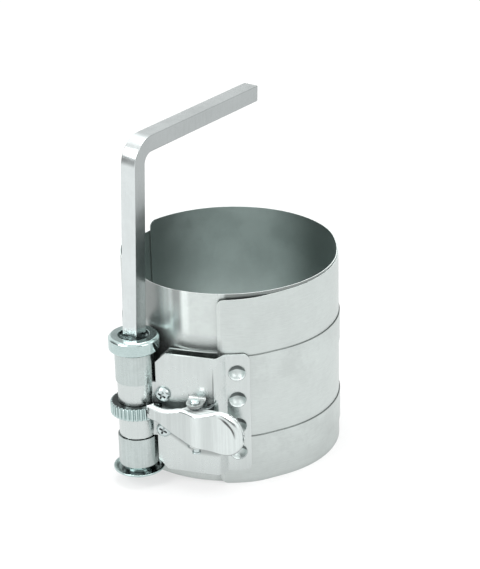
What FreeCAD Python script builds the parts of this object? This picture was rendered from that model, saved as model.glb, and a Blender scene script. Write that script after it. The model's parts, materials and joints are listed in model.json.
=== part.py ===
import FreeCAD, Part
import math
import os

Vector = FreeCAD.Vector

# Piston ring compressor, ratchet pattern. Millimetres, +Z up.
# The origin is on the sleeve's axis, in the plane of its lower edge.
# The bracket with the ratchet is on the -Y side, its front plate parallel to X.

# Sleeve: one spring-steel strip wound about one and two thirds turns, clockwise from inside.
sleeve_height = 80.0
bore_radius = 41.6
strip = 0.35
layer_gap = 0.08
inner_end_angle = 157.0
overlap_start_angle = 168.0
climb_angle = 32.0
outer_end_angle = -78.0
outer_end_corner = 2.8
outer_edge_at_axis = 77.2
outer_edge_slope = 0.041
outer_edge_azimuth = 18.5

# Clinched leaves: the outer turn and the bands rise over the bracket's rear leaf.
rise_start_angle = -46.0
rise_end_angle = -63.0
stack_gap = 0.08

# Tension bands, two alike
band = 0.3
band_width = 11.8
lower_band_z = 7.9
upper_band_z = 41.6
band_end_angle = -75.0
band_wrap = 8.0

# Spindle and what it carries
spindle_angle = -115.4
spindle_side_clearance = 0.12
spindle_radius = 5.9
spindle_bottom = 3.7
spindle_top = 59.7
spindle_rivet_radius = 6.7
spindle_rivet_height = 0.7
journal_clearance = 0.05
socket_across = 6.95
socket_depth = 13.4
socket_entry_radius = 5.4
socket_entry_depth = 1.9
collar_radius = 9.65
collar_height = 5.6
collar_edge = 0.9
collar_proud = 1.2
flange_radius = 9.8
flange_floor = 1.0
flange_dish_radius = 7.9
flange_rise = 1.5
wheel_radius = 10.0
wheel_height = 4.9
wheel_teeth = 36
wheel_tooth_depth = 0.8
wheel_edge = 0.45

# Coils: each band's end wound on the spindle
coil_half_turns = 9
coil_pitch = 0.33
lower_coil_z = 8.1
coil_loop_gap = 0.2
anchor_slot_depth = 1.2
anchor_slot_width = 0.5

# Bracket: one folded sheet with two loops round the spindle
plate = 1.0
plate_offset = 0.96
plate_from_spindle = 8.43
plate_bottom = 6.3
plate_top = 54.5
plate_chamfer = 3.8
leaf_corner = 2.5
leaf_start_angle = -73.4
leaf_end_angle = -62.6
rear_leaf_end_angle = -64.0
step_direction = 66.0
bend_radius = 0.9
loop_bend_radius = 1.0
lower_loop_bottom = 20.2
lower_loop_top = 28.8
upper_loop_bottom = 34.1
upper_loop_top = 42.5
wheel_side_clearance = 0.6

# Pivot lugs lanced out of the front plate
pivot_from_spindle = 24.95
pivot_offset = 3.4
lug_width = 6.7
lug_bend_radius = 1.5
upper_lug_top = 37.6
lower_lug_bottom = 19.8
lance_slit = 0.25
pin_radius = 1.3
pin_clearance = 0.04
pin_head_radius = 1.9
pin_head_height = 0.9
pin_tail = 3.2
pin_tail_radius = 1.6
pin_tail_height = 0.7

# Clinch cups
cup_angle = -68.8
cup_levels = (14.2, 25.2, 36.2, 47.2)
cup_radius = 3.3
cup_mouth_radius = 3.05
cup_wall = 0.55
cup_clearance = 0.03

# Clamp screws and the threaded spacers between the plates
screw_from_spindle = 11.2
screw_levels = (23.2, 37.9)
screw_head_radius = 2.9
screw_head_height = 1.7
screw_shank_radius = 1.5
screw_length = 4.3
recess_width = 0.75
recess_reach = 1.6
recess_depth = 1.0
spacer_radius = 2.6
spacer_spigot_radius = 2.1
thread_clearance = 0.03

# Pawl lever: a pressed channel that tapers to a nose and ends in a thumb pad
lever_sheet = 1.0
lever_rim_depth = 2.6
lever_top = 34.9
lever_nose_reach = 17.8
lever_nose_bottom = 28.4
lever_pad_reach = 18.0
lever_bends = ((-5.6, -2.6, 8.0), (2.6, -6.5, 4.0), (8.3, -2.1, 5.0))
lever_nose_drop = 0.7
lever_pad_lift = 0.3
lever_shoulder = ((6.4, 34.9), (14.2, 31.9), (18.0, 24.0))
lever_cheek = ((16.7, 18.8), (12.0, 17.0))
lever_sweep = ((2.3, 20.9), (-5.6, 23.2), (-11.6, 26.1))
ear_radius = 3.0
ear_clearance = 0.05
lower_ear_gap = 0.35
nose_clearance = 0.12

# Pawl spring
wire_radius = 0.25
spring_radius = 1.8
spring_pitch = 0.52
spring_turns = 1.5
spring_samples = 18
spring_gap = 0.1
spring_leg = 3.6
spring_tip = 4.1
spring_tip_rise = 0.62
spring_leg_azimuth = 10.0

# Crank key: square bar bent at a right angle, standing a little askew in its socket
key_across = 6.35
key_bend_radius = 4.0
key_pivot_level = 53.2
key_rise = 81.4
key_reach = 78.5
key_lean = 2.0
key_lean_azimuth = 20.7
key_arm_azimuth = 74.8
key_foot_gap = 0.15
key_end_chamfer = 0.5

# Derived sizes
turn_step = strip + layer_gap
wheel_bottom = (lower_loop_top + upper_loop_bottom - wheel_height) / 2
upper_coil_z = upper_loop_top + coil_loop_gap
collar_bottom = spindle_top + collar_proud - collar_height
single_outer = bore_radius + strip
double_outer = single_outer + turn_step
rear_leaf_inner = single_outer + stack_gap
rear_leaf_outer = rear_leaf_inner + plate
raised_strip_inner = rear_leaf_outer + stack_gap
raised_band_inner = raised_strip_inner + strip + stack_gap
front_leaf_inner = raised_band_inner + band + stack_gap
front_leaf_outer = front_leaf_inner + plate
strip_hole_start = (rear_leaf_inner + rear_leaf_outer) / 2
widest_radius = max(wheel_radius, collar_radius, flange_radius)
spindle_distance = single_outer + widest_radius + spindle_side_clearance
spindle_x = spindle_distance * math.cos(math.radians(spindle_angle))
spindle_y = spindle_distance * math.sin(math.radians(spindle_angle))
plate_front = spindle_y - plate_offset
plate_left = spindle_x + plate_from_spindle
screw_x = spindle_x + screw_from_spindle
pivot_x = spindle_x + pivot_from_spindle
pivot_y = plate_front - pivot_offset
plate_mid_y = plate_front + plate / 2
rear_plate_mid_y = -(rear_leaf_inner + plate / 2)
loop_bore = spindle_radius + journal_clearance
coil_start_radius = spindle_radius + journal_clearance + band / 2
coil_outer = coil_start_radius + coil_half_turns * coil_pitch / 2 + band / 2
socket_floor = spindle_top - socket_depth
lug_bend_top = upper_lug_top + lug_bend_radius
lug_bend_bottom = lower_lug_bottom - lug_bend_radius
spindle_axis = Vector(spindle_x, spindle_y, 0)
pivot_axis = Vector(pivot_x, pivot_y, 0)


def polar(radius, angle, centre=Vector(0, 0, 0)):
    """A point at an angle in degrees round a centre."""
    turn = math.radians(angle)
    return centre + Vector(radius * math.cos(turn), radius * math.sin(turn), 0)


def heading(vector):
    """The angle of a plan vector in degrees."""
    return math.degrees(math.atan2(vector.y, vector.x))


def arc_edge(centre, radius, start, end):
    """An arc between two angles, drawn through its middle."""
    middle = (start + end) / 2
    points = [polar(radius, angle, centre) for angle in (start, middle, end)]
    return Part.Arc(*points).toShape()


def ramp_edge(start_radius, start, end_radius, end):
    """A smooth change of radius round the origin, tangent to both circles."""
    span = math.radians(end - start)
    reach = 4.0 / 3.0 * math.tan(span / 4)
    first = polar(start_radius, start)
    last = polar(end_radius, end)
    first_pull = first + polar(start_radius * reach, start + 90)
    last_pull = last - polar(end_radius * reach, end + 90)
    curve = Part.BezierCurve()
    curve.setPoles([first, first_pull, last_pull, last])
    return curve.toShape()


def line_edge(first, last):
    return Part.LineSegment(first, last).toShape()


def shifted(piece, offset):
    """One stretch of a sheet's path, moved to the left of its heading by an offset."""
    kind = piece[0]
    if kind == "line":
        first, last = piece[1], piece[2]
        run = (last - first).normalize()
        side = Vector(-run.y, run.x, 0) * offset
        return line_edge(first + side, last + side)
    if kind == "arc":
        centre, radius, start, end = piece[1:]
        inward = 1 if end > start else -1
        return arc_edge(centre, radius - inward * offset, start, end)
    start_radius, start, end_radius, end = piece[1:]
    inward = 1 if end > start else -1
    return ramp_edge(start_radius - inward * offset, start, end_radius - inward * offset, end)


def sheet_face(path, left, right):
    """The section of a bent sheet: a smooth path given two thicknesses, left and right of it."""
    near = [shifted(piece, left) for piece in path]
    far = [shifted(piece, -right) for piece in path]
    start_cap = line_edge(near[0].valueAt(near[0].FirstParameter), far[0].valueAt(far[0].FirstParameter))
    end_cap = line_edge(near[-1].valueAt(near[-1].LastParameter), far[-1].valueAt(far[-1].LastParameter))
    edges = near + [end_cap] + far[::-1] + [start_cap]
    return Part.Face(Part.Wire(Part.__sortEdges__(edges)))


def extruded(face, bottom, top):
    """A plan face raised into a solid between two levels."""
    solid = face.extrude(Vector(0, 0, top - bottom))
    solid.translate(Vector(0, 0, bottom))
    return solid


def polygon_prism(points, depth):
    """A closed polygon swept along a vector."""
    return Part.Face(Part.makePolygon(points + [points[0]])).extrude(depth)


def box_between(low, high):
    size = high - low
    return Part.makeBox(size.x, size.y, size.z, low)


def post(radius, bottom, top, axis):
    """An upright cylinder on a plan axis."""
    return Part.makeCylinder(radius, top - bottom, Vector(axis.x, axis.y, bottom))


def revolved(points, axis):
    """A polygon of (radius, level) pairs turned round an upright plan axis."""
    corners = [Vector(axis.x + radius, axis.y, level) for radius, level in points]
    section = Part.Face(Part.makePolygon(corners + [corners[0]]))
    return section.revolve(axis, Vector(0, 0, 1), 360)


def radial_plug(radius, inner, outer, level):
    """A cylinder that points outwards from the sleeve's axis at the clinch angle."""
    direction = polar(1, cup_angle)
    start = polar(inner, cup_angle) + Vector(0, 0, level)
    return Part.makeCylinder(radius, outer - inner, start, direction)


def make_sleeve():
    """The wound strip, its outer turn trimmed lower on a slant and rounded at the corner."""
    inner_mid = bore_radius + strip / 2
    outer_mid = inner_mid + turn_step
    raised_mid = raised_strip_inner + strip / 2
    origin = Vector(0, 0, 0)
    climb_end = overlap_start_angle - 360
    climb_start = climb_end + climb_angle
    path = [
        ("arc", origin, inner_mid, inner_end_angle, climb_start),
        ("ramp", inner_mid, climb_start, outer_mid, climb_end),
        ("arc", origin, outer_mid, climb_end, rise_start_angle - 360),
        ("ramp", outer_mid, rise_start_angle - 360, raised_mid, rise_end_angle - 360),
        ("arc", origin, raised_mid, rise_end_angle - 360, outer_end_angle - 360),
    ]
    sleeve = extruded(sheet_face(path, strip / 2, strip / 2), 0, sleeve_height)
    sleeve = sleeve.cut(outer_turn_trim())
    for level in cup_levels:
        sleeve = sleeve.cut(radial_plug(cup_radius + cup_clearance, strip_hole_start, front_leaf_outer, level))
    return sleeve.cut(end_corner_cutter()).cut(inner_corner_cutter())


def outer_turn_trim():
    """What is cut off above the outer turn: a ring sector with a slanting floor."""
    radius = single_outer + layer_gap / 2
    reach = front_leaf_outer + plate
    start = outer_end_angle - 1
    end = overlap_start_angle - 1
    path = [("arc", Vector(0, 0, 0), radius, start, end)]
    sector = extruded(sheet_face(path, 0, reach - radius), 0, sleeve_height + 1)
    size = 4 * reach
    slab = Part.makeBox(size, size, size, Vector(-size / 2, -size / 2, 0))
    tilt = -math.degrees(math.atan(outer_edge_slope))
    slab.rotate(Vector(0, 0, 0), Vector(0, 1, 0), tilt)
    slab.rotate(Vector(0, 0, 0), Vector(0, 0, 1), outer_edge_azimuth)
    slab.translate(Vector(0, 0, outer_edge_at_axis))
    return sector.common(slab)


def corner_prism(inner, outer, angle, side, level, up, size):
    """Removes the square corner outside a rounded one, at one end of a wound strip."""
    axis = polar(1, angle)
    along = polar(1, angle + 90) * side
    rise = Vector(0, 0, up)
    corner = polar(inner, angle) + Vector(0, 0, level)
    middle = corner + (along + rise) * size
    overshoot = (along + rise) * -1
    block = Part.Face(Part.makePolygon([
        corner + overshoot, corner - rise + along * size, middle, corner - along + rise * size,
        corner + overshoot,
    ])).extrude(axis * (outer - inner))
    return block.cut(Part.makeCylinder(size, outer - inner, middle, axis))


def end_corner_cutter():
    """Rounded corners at the strip's outer end."""
    inner = rear_leaf_outer
    outer = front_leaf_outer
    top = outer_edge_at_axis + outer_edge_slope * polar(inner, outer_end_angle - outer_edge_azimuth).x
    lower = corner_prism(inner, outer, outer_end_angle, 1, 0, 1, outer_end_corner)
    upper = corner_prism(inner, outer, outer_end_angle, 1, top, -1, outer_end_corner)
    return lower.fuse(upper)


def inner_corner_cutter():
    """Rounded corner at the top of the strip's inner end."""
    inner = bore_radius - 1
    outer = single_outer + layer_gap / 2
    return corner_prism(inner, outer, inner_end_angle, -1, sleeve_height, -1, outer_end_corner)


def make_band(bottom, cup_level):
    """A tension band, from under the front leaf round the sleeve and up to its coil."""
    origin = Vector(0, 0, 0)
    raised = raised_band_inner + band / 2
    on_two = double_outer + stack_gap + band / 2
    on_one = single_outer + stack_gap + band / 2
    wrap_radius = coil_outer + journal_clearance + band / 2
    reach = spindle_axis.Length
    lean = math.degrees(math.acos((on_one + wrap_radius) / reach))
    leave = heading(spindle_axis) + 360 - lean
    arrive = leave - 180
    climb_end = overlap_start_angle + climb_angle
    path = [
        ("arc", origin, raised, band_end_angle, rise_end_angle),
        ("ramp", raised, rise_end_angle, on_two, rise_start_angle),
        ("arc", origin, on_two, rise_start_angle, overlap_start_angle),
        ("ramp", on_two, overlap_start_angle, on_one, climb_end),
        ("arc", origin, on_one, climb_end, leave),
        ("line", polar(on_one, leave), polar(wrap_radius, arrive, spindle_axis)),
        ("arc", spindle_axis, wrap_radius, arrive, arrive - band_wrap),
    ]
    strap = extruded(sheet_face(path, band / 2, band / 2), bottom, bottom + band_width)
    hole = radial_plug(cup_radius + cup_clearance, rear_leaf_outer, front_leaf_outer, cup_level)
    return strap.cut(hole)


def coil_start_angle():
    """The coil is turned so that its outer end lies where its band arrives."""
    on_one = single_outer + stack_gap + band / 2
    wrap_radius = coil_outer + journal_clearance + band / 2
    lean = math.degrees(math.acos((on_one + wrap_radius) / spindle_axis.Length))
    return heading(spindle_axis) + 180 - lean - 180 * coil_half_turns


def make_coil(bottom):
    """The end of a band wound on the spindle as half turns, with its tail in the anchor slot."""
    start = coil_start_angle()
    growth = coil_pitch / 2
    even = spindle_axis
    odd = polar(growth, start, spindle_axis)
    path = []
    for turn in range(coil_half_turns):
        centre = odd if turn % 2 else even
        angle = start + 180 * turn
        path.append(("arc", centre, coil_start_radius + growth * turn, angle, angle + 180))
    coil = extruded(sheet_face(path, band / 2, band / 2), bottom, bottom + band_width)
    tail = anchor_block(spindle_radius - anchor_slot_depth, coil_start_radius, band, bottom, bottom + band_width)
    return coil.fuse(tail)


def anchor_block(inner, outer, width, bottom, top):
    """A radial block at the coil's inner end."""
    block = box_between(Vector(inner, -width / 2, bottom), Vector(outer, width / 2, top))
    block.rotate(Vector(0, 0, 0), Vector(0, 0, 1), coil_start_angle())
    block.translate(spindle_axis)
    return block


def make_spindle():
    """The winding spindle, riveted over the flange below and socketed for the key above."""
    body = post(spindle_radius, spindle_bottom, spindle_top, spindle_axis)
    rivet = post(spindle_rivet_radius, spindle_bottom, spindle_bottom + spindle_rivet_height, spindle_axis)
    half = socket_across / 2
    low = Vector(-half, -half, socket_floor)
    socket = box_between(low, Vector(half, half, spindle_top + 1))
    socket.rotate(Vector(0, 0, 0), Vector(0, 0, 1), key_arm_azimuth)
    socket.translate(spindle_axis)
    entry = Part.makeCone(
        socket_entry_radius - socket_entry_depth, socket_entry_radius, socket_entry_depth,
        Vector(spindle_x, spindle_y, spindle_top - socket_entry_depth),
    )
    spindle = body.fuse(rivet).cut(socket).cut(entry)
    for bottom in (lower_coil_z, upper_coil_z):
        slot = anchor_block(
            spindle_radius - anchor_slot_depth - anchor_slot_width, spindle_radius + 1,
            anchor_slot_width, bottom - anchor_slot_width, bottom + band_width + anchor_slot_width,
        )
        spindle = spindle.cut(slot)
    return spindle.removeSplitter()


def make_collar():
    """The top collar, a turned ring with a wide bevel on its upper edge."""
    top = collar_bottom + collar_height
    ring = post(collar_radius, collar_bottom, top, spindle_axis)
    ring = ring.cut(post(spindle_radius, collar_bottom - 1, top + 1, spindle_axis))
    rims = [edge for edge in ring.Edges if outer_rim(edge, collar_radius, top)]
    ring = ring.makeChamfer(collar_edge, rims)
    foot = [edge for edge in ring.Edges if outer_rim(edge, collar_radius, collar_bottom)]
    return ring.makeChamfer(collar_edge / 2, foot)


def outer_rim(edge, radius, level):
    """True for the circular edge of a given radius at a given level."""
    curve = edge.Curve
    if not isinstance(curve, Part.Circle):
        return False
    return abs(curve.Radius - radius) < 0.01 and abs(curve.Center.z - level) < 0.01


def make_flange():
    """The dished washer under the lower coil."""
    bottom = spindle_bottom + spindle_rivet_height
    lip = flange_floor * 0.7
    section = [
        (spindle_radius, bottom), (flange_dish_radius, bottom), (flange_radius, bottom + flange_rise - lip / 2),
        (flange_radius, bottom + flange_rise + lip / 2), (flange_radius - lip, bottom + flange_rise + lip / 2),
        (flange_dish_radius - lip / 2, bottom + flange_floor), (spindle_radius, bottom + flange_floor),
    ]
    return revolved(section, spindle_axis)


def make_wheel():
    """The ratchet wheel, with rounded teeth and bevelled faces."""
    half = wheel_tooth_depth / 2
    flank = wheel_radius - half
    root = wheel_radius - wheel_tooth_depth
    quarter = 90.0 / wheel_teeth
    edges = []
    for tooth in range(wheel_teeth):
        angle = 360.0 * tooth / wheel_teeth
        crest = [(flank, angle - quarter), (wheel_radius, angle), (flank, angle + quarter)]
        hollow = [(flank, angle + quarter), (root, angle + 2 * quarter), (flank, angle + 3 * quarter)]
        for points in (crest, hollow):
            corners = [polar(radius, turn, spindle_axis) for radius, turn in points]
            edges.append(Part.Arc(*corners).toShape())
    top = wheel_bottom + wheel_height
    gear = extruded(Part.Face(Part.Wire(edges)), wheel_bottom, top)
    bevel = revolved([
        (0, wheel_bottom), (wheel_radius - wheel_edge, wheel_bottom), (wheel_radius + 0.1, wheel_bottom + wheel_edge),
        (wheel_radius + 0.1, top - wheel_edge), (wheel_radius - wheel_edge, top), (0, top),
    ], spindle_axis)
    return gear.common(bevel).cut(post(spindle_radius, wheel_bottom - 1, top + 1, spindle_axis))


def loop_fillet(side, face_y):
    """Centre of the bend between a loop and a plate whose outer face is at face_y."""
    reach = loop_bore + plate + loop_bend_radius
    centre_y = face_y + side * loop_bend_radius
    drop = centre_y - spindle_y
    return Vector(spindle_x + math.sqrt(reach * reach - drop * drop), centre_y, 0)


def bracket_path():
    """Middle of the folded sheet in plan, from the front leaf round the loop to the rear leaf."""
    origin = Vector(0, 0, 0)
    mid_bend = bend_radius + plate / 2
    leaf_mid = front_leaf_inner + plate / 2
    step_turn = math.radians(step_direction)
    outer_bend = polar(leaf_mid + mid_bend, leaf_start_angle)
    step_top = outer_bend + polar(mid_bend, step_direction + 90)
    rise = step_top.y - plate_mid_y - mid_bend * (1 - math.cos(step_turn))
    run = rise / math.sin(step_turn)
    step_foot = step_top - polar(run, step_direction)
    inner_bend = step_foot - polar(mid_bend, step_direction - 90)
    front_bend = loop_fillet(-1, plate_front)
    rear_bend = loop_fillet(1, rear_plate_mid_y + plate / 2)
    loop_mid = loop_bore + plate / 2
    fillet_mid = loop_bend_radius + plate / 2
    front_turn = heading(front_bend - spindle_axis)
    rear_turn = heading(rear_bend - spindle_axis) - 360
    return [
        ("arc", origin, leaf_mid, leaf_end_angle, leaf_start_angle),
        ("arc", outer_bend, mid_bend, leaf_start_angle + 180, step_direction + 90),
        ("line", step_top, step_foot),
        ("arc", inner_bend, mid_bend, step_direction - 90, -90),
        ("line", Vector(inner_bend.x, plate_mid_y, 0), Vector(front_bend.x, plate_mid_y, 0)),
        ("arc", front_bend, fillet_mid, 90, front_turn + 180),
        ("arc", spindle_axis, loop_mid, front_turn, rear_turn),
        ("arc", rear_bend, fillet_mid, rear_turn + 180, -90),
        ("line", Vector(rear_bend.x, rear_plate_mid_y, 0), Vector(0, rear_plate_mid_y, 0)),
        ("arc", origin, -rear_plate_mid_y, -90, rear_leaf_end_angle),
    ]


def plate_outline():
    """Front view of the plates and the two straps to the loops, as a mask through the sheet."""
    front = spindle_y - 2 * loop_bore
    depth = Vector(0, -front, 0)
    right = polar(front_leaf_outer, leaf_end_angle).x + plate
    far_left = spindle_x - loop_bore - 2 * plate
    corners = [
        (plate_left, plate_bottom + plate_chamfer), (plate_left + plate_chamfer, plate_bottom),
        (right, plate_bottom), (right, plate_top), (plate_left + plate_chamfer, plate_top),
        (plate_left, plate_top - plate_chamfer),
    ]
    plates = polygon_prism([Vector(x, front, z) for x, z in corners], depth)
    straps = []
    for bottom, top in ((lower_loop_bottom, lower_loop_top), (upper_loop_bottom, upper_loop_top)):
        straps.append(box_between(Vector(far_left, front, bottom), Vector(plate_left + 1, 0, top)))
    return plates.multiFuse(straps)


def make_bracket():
    """The folded bracket with its loops, leaves, lanced lugs and holes."""
    sheet = extruded(sheet_face(bracket_path(), plate / 2, plate / 2), plate_bottom, plate_top)
    bracket = sheet.common(plate_outline())
    notch_right = spindle_x + wheel_radius + wheel_side_clearance
    notch = box_between(
        Vector(notch_right - 2 * wheel_radius, plate_front - plate, lower_loop_top),
        Vector(notch_right, 0, upper_loop_bottom),
    )
    lance_half = lug_width / 2 + lance_slit
    window = box_between(
        Vector(pivot_x - lance_half, plate_front - plate, lug_bend_bottom),
        Vector(pivot_x + lance_half, plate_front + 2 * plate, lug_bend_top),
    )
    bracket = bracket.cut(notch).cut(window).cut(leaf_corner_cutter())
    bracket = bracket.multiFuse([make_lug(upper_lug_top, -1), make_lug(lower_lug_bottom, 1)])
    pin_hole = post(pin_radius + pin_clearance, plate_bottom, plate_top, pivot_axis)
    bracket = bracket.cut(pin_hole)
    for level in cup_levels:
        bracket = bracket.cut(radial_plug(cup_radius + cup_clearance, bore_radius, front_leaf_outer + plate, level))
    for level in screw_levels:
        front = Vector(screw_x, plate_front - plate, level)
        shank = Part.makeCylinder(screw_shank_radius + thread_clearance, 3 * plate, front, Vector(0, 1, 0))
        middle = Vector(screw_x, (plate_front + rear_plate_mid_y) / 2, level)
        spigot = Part.makeCylinder(spacer_spigot_radius, -middle.y, middle, Vector(0, 1, 0))
        bracket = bracket.cut(shank).cut(spigot)
    return bracket.removeSplitter()


def leaf_corner_cutter():
    """Rounds the free corners of the front leaf."""
    inner = front_leaf_inner - stack_gap / 2
    outer = front_leaf_outer + plate
    lower = corner_prism(inner, outer, leaf_end_angle, -1, plate_bottom, 1, leaf_corner)
    upper = corner_prism(inner, outer, leaf_end_angle, -1, plate_top, -1, leaf_corner)
    return lower.fuse(upper)


def make_lug(face_level, side):
    """A tab bent forward out of the plate; side is -1 where its bend is above it."""
    mid = face_level + side * plate / 2
    bend_mid = lug_bend_radius + plate / 2
    centre = Vector(plate_front - lug_bend_radius, mid - side * bend_mid, 0)
    nose = pivot_y - lug_width
    path = [
        ("arc", centre, bend_mid, 0, side * 90),
        ("line", Vector(centre.x, mid, 0), Vector(nose, mid, 0)),
    ]
    section = sheet_face(path, plate / 2, plate / 2)
    section.rotate(Vector(0, 0, 0), Vector(1, 1, 1), 120)
    tab = section.extrude(Vector(lug_width, 0, 0))
    tab.translate(Vector(pivot_x - lug_width / 2, 0, 0))
    mask = post(lug_width / 2, plate_bottom, plate_top, pivot_axis)
    root = box_between(
        Vector(pivot_x - lug_width / 2, pivot_y, plate_bottom), Vector(pivot_x + lug_width / 2, 0, plate_top))
    return tab.common(mask.fuse(root))


def make_cups():
    """Four drawn cups that clinch the leaves, the strip's end and the bands together."""
    depth = front_leaf_outer - rear_leaf_inner - stack_gap
    floor = depth - cup_wall
    corners = [
        (cup_mouth_radius, 0), (cup_mouth_radius * 0.86, floor * 0.5), (cup_mouth_radius * 0.5, floor * 0.88),
        (0, floor), (0, depth), (cup_radius - cup_wall, depth), (cup_radius, depth - cup_wall), (cup_radius, 0),
    ]
    cup = revolved(corners, Vector(0, 0, 0))
    turn = FreeCAD.Rotation(Vector(0, 0, 1), polar(-1, cup_angle))
    cups = []
    for level in cup_levels:
        place = FreeCAD.Placement(polar(front_leaf_outer, cup_angle) + Vector(0, 0, level), turn)
        cups.append(cup.transformGeometry(place.toMatrix()))
    return Part.makeCompound(cups)


def make_screws():
    """Two pan-head screws with cross recesses."""
    screws = []
    for level in screw_levels:
        seat = Vector(screw_x, plate_front, level)
        shank = Part.makeCylinder(screw_shank_radius, screw_length, seat, Vector(0, 1, 0))
        head = Part.makeCylinder(screw_head_radius, screw_head_height, seat, Vector(0, -1, 0))
        front = plate_front - screw_head_height
        rim = [edge for edge in head.Edges if abs(edge.CenterOfMass.y - front) < 0.01]
        head = head.makeChamfer(screw_head_height * 0.45, rim)
        long_slot = box_between(
            Vector(-recess_reach, front - 1, -recess_width / 2),
            Vector(recess_reach, front + recess_depth, recess_width / 2))
        tall_slot = long_slot.copy()
        tall_slot.rotate(Vector(0, 0, 0), Vector(0, 1, 0), 90)
        cross = long_slot.fuse(tall_slot)
        cross.rotate(Vector(0, 0, 0), Vector(0, 1, 0), 25)
        cross.translate(Vector(screw_x, 0, level))
        screws.append(head.fuse(shank).cut(cross).removeSplitter())
    return Part.makeCompound(screws)


def make_spacers():
    """Two threaded spacers that hold the plates apart and are riveted in the rear one."""
    spacers = []
    front_face = plate_front + plate
    rear_face = rear_plate_mid_y - plate / 2
    for level in screw_levels:
        seat = Vector(screw_x, front_face, level)
        barrel = Part.makeCylinder(spacer_radius, rear_face - front_face, seat, Vector(0, 1, 0))
        spigot_length = rear_face - front_face + plate
        spigot = Part.makeCylinder(spacer_spigot_radius, spigot_length, seat, Vector(0, 1, 0))
        bore = Part.makeCylinder(screw_shank_radius + thread_clearance, screw_length, seat, Vector(0, 1, 0))
        spacers.append(barrel.fuse(spigot).cut(bore).removeSplitter())
    return Part.makeCompound(spacers)


def make_pin():
    """The pivot pin, domed above the upper lug and peened at its foot."""
    foot = lower_lug_bottom - pin_tail
    shank = post(pin_radius, foot, upper_lug_top, pivot_axis)
    head = post(pin_head_radius, upper_lug_top, upper_lug_top + pin_head_height, pivot_axis)
    rim = [edge for edge in head.Edges if outer_rim(edge, pin_head_radius, upper_lug_top + pin_head_height)]
    head = head.makeChamfer(pin_head_height * 0.5, rim)
    peen = post(pin_tail_radius, foot, foot + pin_tail_height, pivot_axis)
    return shank.multiFuse([head, peen]).removeSplitter()


def make_pin_clip():
    """The retaining washer pressed on the pin under the lower lug."""
    top = lower_lug_bottom - stack_gap
    bottom = top - lever_sheet * 0.6
    washer = post(pin_head_radius, bottom, top, pivot_axis)
    return washer.cut(post(pin_radius, bottom - 1, top + 1, pivot_axis))


def lever_path():
    """Front face of the lever in plan, from the nose to the end of the pad."""
    corners = [(-lever_nose_reach, -lever_nose_drop)]
    corners += [(x, y) for x, y, radius in lever_bends]
    corners += [(lever_pad_reach + lever_sheet / 2, lever_pad_lift)]
    radii = [radius for x, y, radius in lever_bends]
    points = [pivot_axis + Vector(x, y, 0) for x, y in corners]
    path = []
    last = points[0]
    for before, corner, after, radius in zip(points, points[1:], points[2:], radii):
        entry = (corner - before).normalize()
        leave = (after - corner).normalize()
        turn = heading(leave) - heading(entry)
        cut_back = radius * math.tan(math.radians(abs(turn) / 2))
        side = 1 if turn > 0 else -1
        start = corner - entry * cut_back
        centre = start + Vector(-entry.y, entry.x, 0) * side * radius
        path.append(("line", last, start))
        path.append(("arc", centre, radius, heading(entry) - side * 90, heading(leave) - side * 90))
        last = corner + leave * cut_back
    path.append(("line", last, points[-1]))
    return path


def lever_outline(inset):
    """Front view of the lever as a wire: straight top, round pad, sweeping lower edge."""
    shoulder = [Vector(pivot_x + x, 0, z) for x, z in lever_shoulder]
    cheek = [Vector(pivot_x + x, 0, z) for x, z in lever_cheek]
    sweep = [Vector(pivot_x + x, 0, z) for x, z in lever_sweep]
    nose_foot = Vector(pivot_x - lever_nose_reach, 0, lever_nose_bottom)
    nose_head = Vector(pivot_x - lever_nose_reach, 0, lever_top)
    edges = [
        line_edge(nose_head, shoulder[0]),
        Part.Arc(*shoulder).toShape(),
        Part.Arc(shoulder[-1], *cheek).toShape(),
        Part.Arc(cheek[-1], *sweep[:2]).toShape(),
        Part.Arc(*sweep[1:], nose_foot).toShape(),
        line_edge(nose_foot, nose_head),
    ]
    face = Part.Face(Part.Wire(Part.__sortEdges__(edges)))
    if inset:
        face = face.makeOffset2D(-inset)
    return face


def make_lever():
    """The pawl lever: a pressed face with a turned-back rim and two ears on the pin."""
    path = lever_path()
    reach = Vector(0, -plate_front, 0)
    far_front = Vector(0, 2 * plate_front, 0)
    whole = lever_outline(0)
    whole.translate(far_front)
    whole = whole.extrude(reach * 2)
    hollow = lever_outline(lever_sheet)
    hollow.translate(far_front)
    hollow = hollow.extrude(reach * 2)
    skin = extruded(sheet_face(path, lever_sheet, 0), 0, 2 * lever_top).common(whole)
    rim = extruded(sheet_face(path, lever_rim_depth, 0), 0, 2 * lever_top).common(whole.cut(hollow))
    lower_ear_bottom = lower_lug_bottom + plate + lower_ear_gap
    ears = []
    for bottom in (lower_ear_bottom, lever_top - lever_sheet):
        ears.append(make_ear(path, bottom))
    lever = skin.multiFuse([rim] + ears)
    lever = lever.cut(post(pin_radius + ear_clearance, 0, 2 * lever_top, pivot_axis))
    sweep = wheel_radius + nose_clearance
    lever = lever.cut(post(sweep, 0, 2 * lever_top, spindle_axis))
    return lever.removeSplitter()


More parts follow.
